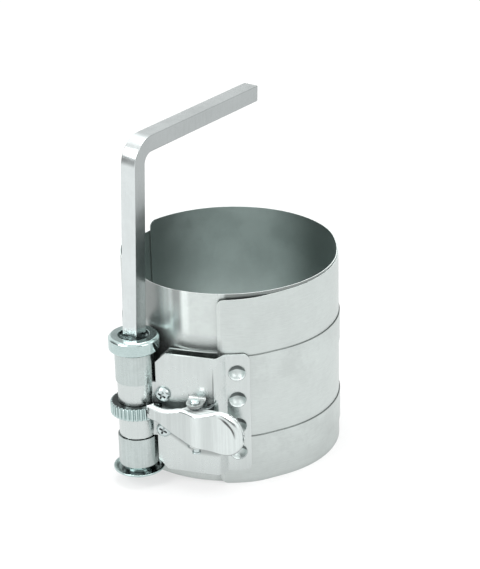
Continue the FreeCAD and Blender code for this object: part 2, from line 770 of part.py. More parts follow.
def make_ear(path, bottom):
    """One ear: a web from the lever's face back round the pin."""
    top = bottom + lever_sheet
    disc = post(ear_radius, bottom, top, pivot_axis)
    web = polygon_prism([
        Vector(pivot_x - ear_radius, pivot_y, bottom),
        Vector(pivot_x - 2 * ear_radius, pivot_y - 3 * ear_radius, bottom),
        Vector(pivot_x + 2 * ear_radius, pivot_y - 3 * ear_radius, bottom),
        Vector(pivot_x + ear_radius, pivot_y, bottom),
    ], Vector(0, 0, lever_sheet))
    edges = [shifted(piece, lever_sheet / 2) for piece in path]
    first = edges[0].valueAt(edges[0].FirstParameter)
    last = edges[-1].valueAt(edges[-1].LastParameter)
    rear_left = Vector(first.x, 0, 0)
    rear_right = Vector(last.x, 0, 0)
    edges += [line_edge(last, rear_right), line_edge(rear_right, rear_left), line_edge(rear_left, first)]
    behind = extruded(Part.Face(Part.Wire(Part.__sortEdges__(edges))), bottom, top)
    return disc.fuse(web).common(behind)


def make_spring():
    """The torsion spring on the pin: one wire, its two legs bent up towards their stops."""
    height = spring_pitch * spring_turns
    coil = []
    for step in range(spring_samples + 1):
        share = step / spring_samples
        coil.append(polar(spring_radius, 360 * spring_turns * share) + Vector(0, 0, height * share))
    lead = spring_leg_points(coil[0], polar(-1, 90))
    trail = spring_leg_points(coil[-1], polar(1, 360 * spring_turns + 90))
    path = Part.BSplineCurve()
    path.interpolate(lead[::-1] + coil + trail)
    tip = path.value(path.FirstParameter)
    section = wire_section(tip, path.tangent(path.FirstParameter)[0])
    spring = Part.Wire(path.toShape()).makePipeShell([section], True, False)
    spring.rotate(Vector(0, 0, 0), Vector(0, 0, 1), spring_leg_azimuth + 90)
    spring.translate(Vector(pivot_x, pivot_y, lever_top + wire_radius + spring_gap))
    return spring


def wire_section(centre, run):
    """An eight-sided section of the wire, square to its run."""
    side = run.cross(Vector(0, 0, 1)).normalize()
    rise = side.cross(run).normalize()
    corners = []
    for corner in range(9):
        turn = math.radians(45 * corner)
        corners.append(centre + (side * math.cos(turn) + rise * math.sin(turn)) * wire_radius)
    return Part.makePolygon(corners)


def spring_leg_points(root, run):
    """A leg in three points: its middle, its elbow and its tip."""
    elbow = root + run * spring_leg
    return [root + run * spring_leg / 2, elbow, elbow + (run + Vector(0, 0, spring_tip_rise)) * spring_tip]


def make_key():
    """The crank key, bent from square bar, leaning in its socket."""
    half = key_across / 2
    mid_bend = key_bend_radius + half
    section = Part.Face(Part.makePolygon([
        Vector(-half, -half, 0), Vector(half, -half, 0), Vector(half, half, 0), Vector(-half, half, 0),
        Vector(-half, -half, 0),
    ]))
    foot = socket_floor + key_foot_gap - key_pivot_level
    leg = section.extrude(Vector(0, 0, key_rise - mid_bend - foot))
    leg.translate(Vector(0, 0, foot))
    corner = section.copy()
    corner.translate(Vector(0, 0, key_rise - mid_bend))
    bend = corner.revolve(Vector(mid_bend, 0, key_rise - mid_bend), Vector(0, 1, 0), 90)
    arm = section.copy()
    arm.rotate(Vector(0, 0, 0), Vector(0, 1, 0), 90)
    arm.translate(Vector(mid_bend, 0, key_rise))
    arm = arm.extrude(Vector(key_reach - mid_bend, 0, 0))
    key = leg.multiFuse([bend, arm]).removeSplitter()
    ends = [edge for edge in key.Edges if key_end(edge, foot)]
    key = key.makeChamfer(key_end_chamfer, ends)
    key.rotate(Vector(0, 0, 0), Vector(0, 0, 1), key_arm_azimuth)
    lean_axis = polar(1, key_lean_azimuth + 90)
    key.rotate(Vector(0, 0, 0), lean_axis, key_lean)
    key.translate(Vector(spindle_x, spindle_y, key_pivot_level))
    return key


def key_end(edge, foot):
    """True for the edges round the key's two end faces."""
    box = edge.BoundBox
    at_foot = abs(box.ZMin - foot) < 0.01 and abs(box.ZMax - foot) < 0.01
    at_tip = abs(box.XMin - key_reach) < 0.01 and abs(box.XMax - key_reach) < 0.01
    return at_foot or at_tip


os.makedirs("parts", exist_ok=True)
nodes = {
    "sleeve": make_sleeve(),
    "upper_band": make_band(upper_band_z, cup_levels[3]),
    "lower_band": make_band(lower_band_z, cup_levels[0]),
    "bracket": make_bracket(),
    "clinch_cups": make_cups(),
    "clamp_screws": make_screws(),
    "threaded_spacers": make_spacers(),
    "spindle": make_spindle(),
    "top_collar": make_collar(),
    "bottom_flange": make_flange(),
    "ratchet_wheel": make_wheel(),
    "upper_coil": make_coil(upper_coil_z),
    "lower_coil": make_coil(lower_coil_z),
    "pawl_lever": make_lever(),
    "pivot_pin": make_pin(),
    "pin_clip": make_pin_clip(),
    "pawl_spring": make_spring(),
    "crank_key": make_key(),
}
for name, shape in nodes.items():
    solids = len(shape.Solids)
    print(f"{name:18s} valid {shape.isValid()}  solids {solids}  volume {shape.Volume:10.2f} mm3")
    shape.exportStep(os.path.join("parts", name + ".step"))
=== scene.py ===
# %% [markdown]
# # A piston ring compressor, dressed for its portrait
# The tool is a wound strip of spring steel, drawn tight by two bands that a square key winds on a spindle.
# The solids come from the frame already at their real size and place, in metres, with +Z up.
# What is left to Blender is how the steel looks, and a few forms that pressing and bending make too soft
# for plain solids.

# %% Load the frame
import json
import math
import bpy
from mathutils import Matrix, Vector


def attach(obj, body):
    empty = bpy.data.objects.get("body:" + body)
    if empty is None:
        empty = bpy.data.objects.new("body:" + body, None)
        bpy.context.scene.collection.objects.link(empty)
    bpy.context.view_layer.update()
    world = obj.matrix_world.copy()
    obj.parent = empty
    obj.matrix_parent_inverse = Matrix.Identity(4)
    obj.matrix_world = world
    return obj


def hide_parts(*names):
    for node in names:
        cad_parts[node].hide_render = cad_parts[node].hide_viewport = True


MM = 0.001
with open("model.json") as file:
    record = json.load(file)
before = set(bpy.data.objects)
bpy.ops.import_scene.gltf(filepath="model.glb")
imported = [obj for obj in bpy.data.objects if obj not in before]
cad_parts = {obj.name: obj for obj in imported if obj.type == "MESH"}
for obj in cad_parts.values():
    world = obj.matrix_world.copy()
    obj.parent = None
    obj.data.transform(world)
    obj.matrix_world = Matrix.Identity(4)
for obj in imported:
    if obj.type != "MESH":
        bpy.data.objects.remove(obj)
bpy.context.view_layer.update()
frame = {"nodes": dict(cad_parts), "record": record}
nodes = frame["nodes"]
joint_places = {
    joint["name"]: [1000 * value for value in joint["pos_m"]]
    for joint in frame["record"]["behaviour"]["joints"] if "pos_m" in joint
}
SPINDLE = joint_places["spindle_turn"][:2]
PIVOT = joint_places["pawl_turn"][:2]
print("nodes:", len(nodes), "spindle at", SPINDLE, "pivot at", PIVOT)

# %% [markdown]
# ## The camera
# The photograph was taken from a good distance with a long lens, looking down on the tool, with the camera
# turned a little to the bracket's left and tilted by just over a degree. A camera could be aimed with a
# constraint, but its own three directions say plainly where right, up and forward are, so they are worked
# out here from the angles and written into the camera's matrix.

# %% Camera
VIEW_AZIMUTH = 18.5
VIEW_DIP = 23.44
VIEW_ROLL = -1.4
VIEW_DISTANCE = 0.8
AIM_RIGHT = 4.03 * MM
AIM_LEVEL = 63.61 * MM
SENSOR = 36.0
FOCAL_PIXELS = 2057.0
PHOTO_HEIGHT = 569


def photo_camera():
    turn, dip, roll = (math.radians(a) for a in (VIEW_AZIMUTH, VIEW_DIP, VIEW_ROLL))
    level_right = Vector((math.cos(turn), math.sin(turn), 0))
    forward = Vector((-math.sin(turn) * math.cos(dip), math.cos(turn) * math.cos(dip), -math.sin(dip)))
    level_up = level_right.cross(forward)
    right = level_right * math.cos(roll) + level_up * math.sin(roll)
    up = level_up * math.cos(roll) - level_right * math.sin(roll)
    place = level_right * AIM_RIGHT + Vector((0, 0, AIM_LEVEL)) - forward * VIEW_DISTANCE
    camera = bpy.data.objects.new("photo_camera", bpy.data.cameras.new("photo_camera"))
    bpy.context.scene.collection.objects.link(camera)
    rotation = Matrix((right, up, -forward)).transposed().to_4x4()
    camera.matrix_world = Matrix.Translation(place) @ rotation
    camera.data.sensor_width = SENSOR
    camera.data.lens = SENSOR * FOCAL_PIXELS / PHOTO_HEIGHT
    camera.data.clip_start = 0.01
    return camera


bpy.context.scene.camera = photo_camera()
bpy.context.scene.view_settings.view_transform = "Standard"
print("camera lens in mm:", round(bpy.context.scene.camera.data.lens, 1))

# %% [markdown]
# ## Small helpers for node trees
# A shader is a tree of nodes. Making each node in one short call, with its settings beside it, keeps a
# material readable as a recipe from its first input to the shader. Every value may be a plain number or
# come out of another node, so one helper feeds an input either way.

# %% Node helpers
def join(tree, source, target):
    """Feeds an input: a socket is linked to it, anything else becomes its value."""
    if isinstance(source, bpy.types.NodeSocket):
        tree.links.new(source, target)
    else:
        target.default_value = source


def feed(tree, node, **values):
    """Feeds several inputs of a node by their names."""
    for key, value in values.items():
        join(tree, value, node.inputs[key.replace("_", " ")])


def add(tree, kind, **settings):
    """A node of a kind; settings that name one of its fields set that field, others feed an input."""
    made = tree.nodes.new("ShaderNode" + kind)
    for key, value in settings.items():
        if hasattr(made, key):
            setattr(made, key, value)
        else:
            feed(tree, made, **{key: value})
    return made


print("node helpers ready")

# %% Number helpers


def math_node(tree, operation, first, second=None, clamp=False):
    made = add(tree, "Math", operation=operation, use_clamp=clamp)
    join(tree, first, made.inputs[0])
    if second is not None:
        join(tree, second, made.inputs[1])
    return made.outputs[0]


def vector_node(tree, operation, first, second=None):
    """The result of a Vector Math node, a number where the operation gives one."""
    made = add(tree, "VectorMath", operation=operation)
    join(tree, first, made.inputs[0])
    if second is not None:
        join(tree, second, made.inputs["Scale" if operation == "SCALE" else 1])
    return made.outputs["Value" if operation in ("DOT_PRODUCT", "LENGTH") else "Vector"]


def product(tree, *values):
    """All the values multiplied together."""
    made = values[0]
    for value in values[1:]:
        made = math_node(tree, "MULTIPLY", made, value)
    return made


def mixed(tree, share, first, second, kind="FLOAT"):
    """A share of the second value mixed into the first."""
    made = add(tree, "Mix", data_type=kind)
    low, high, result = {"FLOAT": (2, 3, 0), "VECTOR": (4, 5, 1), "RGBA": (6, 7, 2)}[kind]
    join(tree, share, made.inputs[0])
    join(tree, first, made.inputs[low])
    join(tree, second, made.inputs[high])
    return made.outputs[result]


def remap(tree, value, low, high, to_low, to_high, smooth=True):
    """A value moved from one range to another, eased at both ends."""
    made = add(tree, "MapRange", interpolation_type="SMOOTHSTEP" if smooth else "LINEAR", Value=value,
               From_Min=low, From_Max=high, To_Min=to_low, To_Max=to_high)
    return made.outputs["Result"]


def rising(tree, value, low, high):
    """A mask that is 0 below a range and 1 above it."""
    return remap(tree, value, low, high, 0.0, 1.0)


def falling(tree, value, low, high):
    """A mask that is 1 below a range and 0 above it."""
    return remap(tree, value, low, high, 1.0, 0.0)


def opposite(tree, mask):
    return math_node(tree, "SUBTRACT", 1.0, mask)


def near(tree, value, centre, half, soft):
    """A mask that is 1 within a half width of a centre and falls to 0 over a soft margin."""
    away = math_node(tree, "ABSOLUTE", math_node(tree, "SUBTRACT", value, centre))
    return falling(tree, away, half, half + soft)


print("number helpers ready")

# %% [markdown]
# ## Light and floor
# Bright metal shows its surroundings more than itself, so the room matters as much as the finish. The
# photograph has a white ground and soft light from all round, with darker stretches that give the plated
# pieces their black streaks. Real flags beside the set would stand in the way of other views, so the dark
# stretches are painted into the world by direction, for reflections only, and the camera sees plain white.

# %% World
ROOM_LEVEL = 0.72
REFLECTED_LEVEL = 1.1
WHITE = (1, 1, 1, 1)
# Each dark stretch has its direction, the two cosines between which it fades in, and how dark it is.
DARK_CARDS = (
    ((-0.95, -0.25, 0.12), 0.80, 0.93, 0.85),
    ((0.75, -0.55, 0.20), 0.90, 0.97, 0.80),
    ((0.10, 0.95, 0.30), 0.70, 0.96, 0.65),
)


def reflected_rays(tree, path):
    """1 for light that is seen by way of a reflection."""
    glossy, through = path.outputs["Is Glossy Ray"], path.outputs["Is Transmission Ray"]
    return math_node(tree, "ADD", glossy, through, clamp=True)


def build_world():
    world = bpy.data.worlds.new("studio")
    bpy.context.scene.world = world
    world.use_nodes = True
    tree = world.node_tree
    tree.nodes.clear()
    direction = add(tree, "TexCoord").outputs["Generated"]
    shades = []
    for towards, start, full, depth in DARK_CARDS:
        facing = vector_node(tree, "DOT_PRODUCT", direction, Vector(towards).normalized())
        shades.append(remap(tree, facing, start, full, 1.0, 1.0 - depth))
    path = add(tree, "LightPath")
    level = mixed(tree, reflected_rays(tree, path), ROOM_LEVEL, product(tree, *shades, REFLECTED_LEVEL))
    level = mixed(tree, path.outputs["Is Camera Ray"], level, 1.0)
    background = add(tree, "Background", Color=WHITE, Strength=level)
    add(tree, "OutputWorld", Surface=background.outputs[0])


build_world()
print("world with", len(DARK_CARDS), "dark stretches")

# %% Lamps


def soft_lamp(name, place, aim, size, power):
    """A square area lamp turned towards a point."""
    data = bpy.data.lights.new(name, "AREA")
    data.shape = "SQUARE"
    data.size = size
    data.energy = power
    lamp = bpy.data.objects.new(name, data)
    lamp.location = place
    lamp.rotation_mode = "QUATERNION"
    lamp.rotation_quaternion = (Vector(aim) - Vector(place)).to_track_quat("-Z", "Y")
    bpy.context.scene.collection.objects.link(lamp)


soft_lamp("window_left", place=(-0.55, -0.65, 0.75), aim=(0, 0, 0.05), size=0.5, power=5.0)
soft_lamp("window_right", place=(0.9, -0.35, 0.6), aim=(0, 0, 0.05), size=0.5, power=3.0)
soft_lamp("sky_panel", place=(0.0, 0.1, 1.2), aim=(0, 0, 0), size=0.8, power=9.0)

# %% Floor
FLOOR_RADIUS = 6.0
FLOOR_COLOUR = (0.86, 0.86, 0.86, 1)
# Painted shadow: in reflections the floor dims between these distances from the tool, in metres, to these
# levels.
SHADOW_UNDER_OBJECT = (0.045, 0.074)
SHADOW_UNDER_LEVEL = (0.78, 1.0)
CAMERA_GLOW = 0.6


def object_place(tree):
    """The place on the piece, in metres."""
    return add(tree, "TexCoord").outputs["Object"]


def blank_material(name):
    paint = bpy.data.materials.new(name)
    paint.use_nodes = True
    paint.node_tree.nodes.clear()
    return paint


def mixed_shader(tree, share, first, second):
    made = add(tree, "MixShader")
    for source, target in zip((share, first, second), made.inputs):
        join(tree, source, target)
    return made.outputs[0]


def build_floor():
    """A wide pale disc that glows to the camera and in reflections, where a painted shadow dims it close under
    the tool.
    """
    bpy.ops.mesh.primitive_circle_add(vertices=96, radius=FLOOR_RADIUS, fill_type="NGON")
    floor = bpy.context.object
    floor.name = "floor"
    paint = blank_material("pale_floor")
    tree = paint.node_tree
    path = add(tree, "LightPath")
    matt = add(tree, "BsdfDiffuse", Color=FLOOR_COLOUR)
    glow = add(tree, "Emission", Color=WHITE)
    distance = vector_node(tree, "LENGTH", object_place(tree))
    mirrored_shadowed = add(tree, "Emission", Color=WHITE, Strength=remap(tree, distance, *SHADOW_UNDER_OBJECT, *SHADOW_UNDER_LEVEL))
    to_camera = product(tree, path.outputs["Is Camera Ray"], CAMERA_GLOW)
    seen = mixed_shader(tree, to_camera, matt.outputs[0], glow.outputs[0])
    both = mixed_shader(tree, reflected_rays(tree, path), seen, mirrored_shadowed.outputs[0])
    add(tree, "OutputMaterial", Surface=both)
    floor.data.materials.append(paint)


build_floor()
print("floor ready")

# %% [markdown]
# ## Patches from handling
# Stock steel is never one even grey: oil, fingers and the mill leave soft patches that change how sharply
# it reflects. They could be painted, but two sizes of noise, mixed, give the same uneven look on any
# piece. The effect is one node group, so each finish places it with its own strength.

# %% Handling patches group
BROAD_SHARE = 0.7
FINE_SCALE = 6.0


def new_group(name, inputs, outputs, kind="ShaderNodeTree"):
    """An empty node group with its named sockets; returns the tree and its two end nodes."""
    tree = bpy.data.node_groups.new(name, kind)
    for label, socket_kind, value in inputs:
        socket = tree.interface.new_socket(label, in_out="INPUT", socket_type="NodeSocket" + socket_kind)
        if value is not None:
            socket.default_value = value
    for label, socket_kind in outputs:
        tree.interface.new_socket(label, in_out="OUTPUT", socket_type="NodeSocket" + socket_kind)
    return tree, tree.nodes.new("NodeGroupInput"), tree.nodes.new("NodeGroupOutput")


def noise(tree, place, scale, detail):
    return add(tree, "TexNoise", Vector=place, Scale=scale, Detail=detail).outputs[0]


def scaled(tree, colour, factor):
    """A colour made lighter or darker by a factor."""
    return vector_node(tree, "SCALE", colour, factor)


def patches_group():
    tree, given, out = new_group(
        "handling_patches",
        [
            ("Colour", "Color", (0.6, 0.6, 0.6, 1)), ("Patch size mm", "Float", 12.0),
            ("Tone", "Float", 0.1), ("Roughness", "Float", 0.35), ("Unevenness", "Float", 0.1),
        ],
        [("Colour", "Color"), ("Roughness", "Float")],
    )
    place = object_place(tree)
    scale = math_node(tree, "DIVIDE", 1000.0, given.outputs["Patch size mm"])
    broad = product(tree, noise(tree, place, scale, 3.0), BROAD_SHARE)
    fine = product(tree, noise(tree, place, product(tree, scale, FINE_SCALE), 2.0), 1.0 - BROAD_SHARE)
    mask = rising(tree, math_node(tree, "ADD", broad, fine), 0.38, 0.62)
    centred = math_node(tree, "SUBTRACT", mask, 0.5)
    lift = math_node(tree, "ADD", product(tree, centred, given.outputs["Tone"]), 1.0)
    rough = product(tree, centred, given.outputs["Unevenness"])
    feed(tree, out, Colour=scaled(tree, given.outputs["Colour"], lift),
         Roughness=math_node(tree, "ADD", rough, given.outputs["Roughness"]))
    return tree


PATCHES = patches_group()
print("group:", PATCHES.name)

# %% [markdown]
# ## Drawn and rolled marks
# Rolling, drawing and pressing leave fine lines along the way that the metal moved. A noise squeezed hard
# across that way and left long along it draws them. On flat pieces the lines follow an axis; on pieces
# that are turned or wound they follow the angle round an upright axis, so the group works in unrolled
# coordinates: distance round, level and radius. It also puts out those three, for masks.

# %% Rolled marks group
UNROLLED_RADIUS = 10.0


def place_mm(tree):
    """The place on the piece in mm along x, y and z."""
    place = add(tree, "SeparateXYZ", Vector=object_place(tree))
    return [product(tree, place.outputs[axis], 1000.0) for axis in "XYZ"]


def marks_group():
    tree, given, out = new_group(
        "rolled_marks",
        [
            ("Axis X mm", "Float", 0.0), ("Axis Y mm", "Float", 0.0), ("Round", "Float", 0.0),
            ("Fineness", "Vector", (60.0, 60.0, 60.0)),
        ],
        [("Lines", "Float"), ("Angle", "Float"), ("Level mm", "Float"), ("Radius mm", "Float")],
    )
    x, y, z = place_mm(tree)
    x = math_node(tree, "SUBTRACT", x, given.outputs["Axis X mm"])
    y = math_node(tree, "SUBTRACT", y, given.outputs["Axis Y mm"])
    angle = math_node(tree, "ARCTAN2", y, x)
    radius = math_node(tree, "SQRT", math_node(tree, "ADD", product(tree, x, x), product(tree, y, y)))
    flat = add(tree, "CombineXYZ", X=x, Y=y, Z=z).outputs[0]
    unrolled = add(tree, "CombineXYZ", X=product(tree, angle, UNROLLED_RADIUS), Y=radius, Z=z).outputs[0]
    place = mixed(tree, given.outputs["Round"], flat, unrolled, "VECTOR")
    place = vector_node(tree, "MULTIPLY", place, given.outputs["Fineness"])
    lines = rising(tree, noise(tree, place, 1.0, 3.0), 0.3, 0.7)
    feed(tree, out, Lines=lines, Angle=product(tree, angle, 180.0 / math.pi), Level_mm=z, Radius_mm=radius)
    return tree


MARKS = marks_group()
print("group:", MARKS.name)

# %% [markdown]
# ## One recipe for steel, many finishes
# Every piece is steel, so the finishes differ in colour, in how sharp their reflections are and in the
# marks that they carry. One function places both groups and a Bump node before a metallic shader, and
# darkens the crevices with painted shade. Painting that shade by hand would do it too, but an Ambient
# Occlusion node finds every crevice by itself, also where pieces meet. Where a finish asks, it also paints
# light onto upward faces. The function returns its nodes by name, so a finish that needs more, such as the
# painted shade inside the sleeve, adds it after.

# %% Steel recipe
LEDGE_FACES = (0.55, 0.9)
LEDGE_PAINTED_LIGHT = 1.3
CLOSED_SKY = 0.1


def steel(name, colour, rough, fineness, bump, tone=0.1, uneven=0.08, centre=(0.0, 0.0), wound=0.0,
          lines_tone=0.05, crevice=0.55, reach=5.0, open_sky=0.75, ledges=0.0):
    """A steel finish; centre is the upright axis in mm that turned or wound marks go round, reach is how far
    in mm a crevice casts painted shade on the faces round it, and ledges is how matt the upward faces are
    and how much painted light makes them paler."""
    paint = blank_material(name)
    tree = paint.node_tree
    patches = add(tree, "Group", node_tree=PATCHES, Colour=(*colour, 1), Tone=tone, Roughness=rough,
                  Unevenness=uneven)
    marks = add(tree, "Group", node_tree=MARKS, Axis_X_mm=centre[0], Axis_Y_mm=centre[1], Round=wound,
                Fineness=fineness)
    lines = marks.outputs["Lines"]
    lift = remap(tree, lines, 0.0, 1.0, 1.0 - lines_tone, 1.0 + lines_tone, smooth=False)
    # Painted shade: ambient occlusion darkens the colour in crevices and where pieces meet.
    crevices = add(tree, "AmbientOcclusion", samples=10, Distance=reach * MM)
    shade = remap(tree, crevices.outputs["AO"], CLOSED_SKY, open_sky, 1.0 - crevice, 1.0)
    upward = add(tree, "SeparateXYZ", Vector=add(tree, "NewGeometry").outputs["Normal"]).outputs["Z"]
    metal = 1.0
    # Painted light: upward faces are paler, in place of the crevice shade, and less metallic.
    if ledges:
        ledge = remap(tree, upward, *LEDGE_FACES, 0.0, ledges)
        shade = mixed(tree, ledge, shade, LEDGE_PAINTED_LIGHT)
        metal = opposite(tree, ledge)
    tint = scaled(tree, scaled(tree, patches.outputs["Colour"], lift), shade)
    bumps = add(tree, "Bump", Strength=1.0, Distance=bump * MM, Height=lines)
    shader = add(tree, "BsdfPrincipled", Base_Color=tint, Metallic=metal,
                 Roughness=patches.outputs["Roughness"], Normal=bumps.outputs[0])
    add(tree, "OutputMaterial", Surface=shader.outputs[0])
    return {"paint": paint, "tree": tree, "shader": shader, "marks": marks, "tint": tint, "patches": patches,
            "bumps": bumps, "upward": upward, "metal": metal}


def shaded(tree, colour, mask, factor):
    """A colour that is scaled by a factor where a mask is 1."""
    return scaled(tree, colour, remap(tree, mask, 0.0, 1.0, 1.0, factor, smooth=False))


finishes = {}
print("recipe ready")

# %% [markdown]
# ## The strip's three faces
# The strip is one piece of steel, but three parts of it look unlike each other. The outside is satin from
# handling. The inside only sees itself, so it carries painted shade in a dark grey green, lighter with painted
# light where the far wall shows. The inner turn, where it comes out from under the outer one beside the
# bracket, is still bright from the mill and slightly rippled, and its streaks are painted reflections. The
# normal tells inside from outside, and the angle and the level find the bright part.

# %% The strip's places and tones
SLEEVE_HEIGHT = 80.0
BAND_TOPS = (19.7, 53.4)
ROLLED_LINES = (1.2, 1, 14)
OUTER_END = -75.0
END_MARGIN = 2.0
BEHIND = (-150.0, -130.0)
OVERLAP_FADE = (-20.0, 25.0)
INNER_TURN_RADIUS = (41.96, 41.99)
# Painted shade and light inside the sleeve: its level, its cast and its tones round the sleeve.
INSIDE_PAINTED_SHADE = 0.71
INSIDE_CAST = (0.925, 1.0, 0.99)
# Two stretches of angle across which the painted light and shade inside changes from one tone to another.
INSIDE_PAINTED_LIGHT = ((116.0, 154.0, 1.62, 0.72), (48.0, 84.0, 0.40, 1.0))
# Each painted reflection streak has its middle, half width and soft margin in degrees, and its tone.
PAINTED_REFLECTIONS = ((-118.0, 7.0, 6.0, 0.45), (-108.0, 1.0, 2.5, 1.25), (-99.6, 1.0, 3.0, 0.5), (-95.0, 0.8, 2.5, 1.25))
PAINTED_REFLECTIONS_ABOVE = (58.0, 64.0)
DIM_FROM = (35.0, 50.0)
DIM_TO = (56.0, 62.0)
LOW_PAINTED_SHADE = 0.6
BRIGHT_ROUGHNESS = 0.27
BRIGHT_PLAIN_SHARE = 0.22
RIPPLE_SCALE = 70.0
RIPPLE_HEIGHT = 60.0
OVERLAP_PAINTED_SHADE = 0.42
SEAM_ABOVE_BAND = 0.12
SLEEVE_SEAM_JOINT_AND_SHADE = 0.72
BAND_SEAM_JOINT_AND_SHADE = 0.55
print("streaks on the bright part:", len(PAINTED_REFLECTIONS))

# %% Sleeve and band finishes


def facing_out(tree):
    """Above 0 where a face looks away from the sleeve's axis, below 0 where it looks towards it."""
    outward = vector_node(tree, "NORMALIZE", vector_node(tree, "MULTIPLY", object_place(tree), (1, 1, 0)))
    return vector_node(tree, "DOT_PRODUCT", outward, add(tree, "NewGeometry").outputs["Normal"])


def painted_inside_colour(finish):
    """The strip's colour where it sees only itself: painted shade, lighter where the far wall shows; it
    changes round the sleeve and with the level.
    """
    tree, marks = finish["tree"], finish["marks"]
    round_it = [remap(tree, marks.outputs["Angle"], *tone) for tone in INSIDE_PAINTED_LIGHT]
    down_it = remap(tree, marks.outputs["Level mm"], 0.0, SLEEVE_HEIGHT, 1.05, 1.0)
    dimmed = scaled(tree, finish["patches"].outputs["Colour"], product(tree, *round_it, down_it, INSIDE_PAINTED_SHADE))
    return vector_node(tree, "MULTIPLY", dimmed, INSIDE_CAST)


def sleeve_finish():
    finish = steel("sleeve_strip", (0.64, 0.69, 0.675), 0.40, ROLLED_LINES, 0.004, tone=0.05, uneven=0.04,
                   wound=1.0, crevice=0.4, ledges=0.7)
    tree, marks = finish["tree"], finish["marks"]
    angle, level = marks.outputs["Angle"], marks.outputs["Level mm"]
    inside = falling(tree, facing_out(tree), -0.6, -0.1)
    outside = opposite(tree, inside)
    # Painted shade and light inside the sleeve.
    colour = mixed(tree, inside, finish["tint"], painted_inside_colour(finish), "RGBA")
    bright = product(tree, falling(tree, angle, OUTER_END - END_MARGIN, OUTER_END), outside,
                     rising(tree, angle, *BEHIND))
    reflection_band = product(tree, bright, rising(tree, level, *PAINTED_REFLECTIONS_ABOVE))
    # Painted reflections: light and dark streaks on the bright inner turn.
    for middle, half, soft, tone in PAINTED_REFLECTIONS:
        colour = shaded(tree, colour, product(tree, near(tree, angle, middle, half, soft), reflection_band), tone)
    # Painted shade: the bright part is darker between these middle levels.
    low_shade_mask = product(tree, falling(tree, level, *DIM_TO), rising(tree, level, *DIM_FROM), bright)
    colour = shaded(tree, colour, low_shade_mask, LOW_PAINTED_SHADE)
    # Painted shade in the narrow wedge of the inner turn just past the outer turn's end.
    overlap = product(tree, rising(tree, angle, OUTER_END, OUTER_END + END_MARGIN),
                      falling(tree, angle, *OVERLAP_FADE))
    inner_turn = product(tree, falling(tree, marks.outputs["Radius mm"], *INNER_TURN_RADIUS),
                         falling(tree, finish["upward"], 0.5, 0.9), outside)
    colour = shaded(tree, colour, product(tree, overlap, inner_turn), OVERLAP_PAINTED_SHADE)
    # Dark seam lines just above each band's top: partly the dark joint, partly painted shade of the gap.
    for top in BAND_TOPS:
        seam = near(tree, level, top + SEAM_ABOVE_BAND, 0.1, 0.1)
        colour = shaded(tree, colour, product(tree, seam, outside), SLEEVE_SEAM_JOINT_AND_SHADE)
    ripples = product(tree, noise(tree, object_place(tree), RIPPLE_SCALE, 1.0), bright, RIPPLE_HEIGHT)
    feed(tree, finish["bumps"], Height=math_node(tree, "ADD", marks.outputs["Lines"], ripples))
    plain = opposite(tree, product(tree, bright, BRIGHT_PLAIN_SHARE))
    feed(tree, finish["shader"], Base_Color=colour,
         Roughness=mixed(tree, bright, finish["patches"].outputs["Roughness"], BRIGHT_ROUGHNESS),
         Metallic=math_node(tree, "MINIMUM", finish["metal"], plain))
    return finish


def band_finish():
    finish = steel("band_strip", (0.63, 0.68, 0.665), 0.38, ROLLED_LINES, 0.004, wound=1.0, crevice=0.5)
    tree = finish["tree"]
    colour = finish["tint"]
    # Dark lines on the bands' top edges: partly the dark joint, partly painted shade of the gap.
    for top in BAND_TOPS:
        seam = near(tree, finish["marks"].outputs["Level mm"], top, 0.16, 0.1)
        colour = shaded(tree, colour, seam, BAND_SEAM_JOINT_AND_SHADE)
    feed(tree, finish["shader"], Base_Color=colour)
    return finish


finishes["sleeve_strip"] = sleeve_finish()
finishes["band_strip"] = band_finish()
print("strip and band finishes ready")

# %% [markdown]
# ## The plain finishes
# The coils show the bands' outer faces, rubbed by the winding. The screws, the spacers, the pin and its
# washer are small hardware with bright zinc, and the spring is dark drawn wire. They need only the recipe
# with their own numbers.

# %% Plain finishes
# The coils and the small hardware take deep painted shade in their crevices.
finishes["coil_strip"] = steel("coil_strip", (0.55, 0.615, 0.605), 0.24, (1.2, 0, 0.03), 0.006, wound=1.0,
                               centre=SPINDLE, lines_tone=0.035, crevice=0.85, reach=8.0, open_sky=0.9)
finishes["small_hardware"] = steel("small_hardware", (0.62, 0.70, 0.70), 0.18, (3, 3, 3), 0.001,
                                   crevice=0.92, reach=1.6, open_sky=0.8)
finishes["spring_wire"] = steel("spring_wire", (0.20, 0.23, 0.23), 0.35, (4, 4, 4), 0.002)
print("finishes:", len(finishes))

# %% [markdown]
# ## Finishes that know their place
# Some looks belong to one spot. The bracket is pressed sheet, brushed up and down before plating. Its plate
# carries a painted shadow above the lever and another below it, a painted dark line at the foot of the step,
# painted shade beside the step and a small painted highlight. Each drawn cup has painted shade on its upper
# wall, which faces down. A mask from the place or the normal picks each spot, and it takes no image.

# %% Plate and cup finishes
FRONT_PLATE = -46.9
PLATE_START = (-14.5, -9.5)
STEP_FOOT = 8.75
STEP_SHADE_FADE = 0.35
BESIDE_START = 4.5
# A line on the plate is its level at x = 0, in mm, and its slope.
# These lines bound the painted shadows above and below the lever on the plate.
ABOVE_LEVER_LINE = (39.6, 0.26)
BELOW_LEVER_LINE = (15.9, -0.65)
BELOW_LEVER_LEAST = 15.2
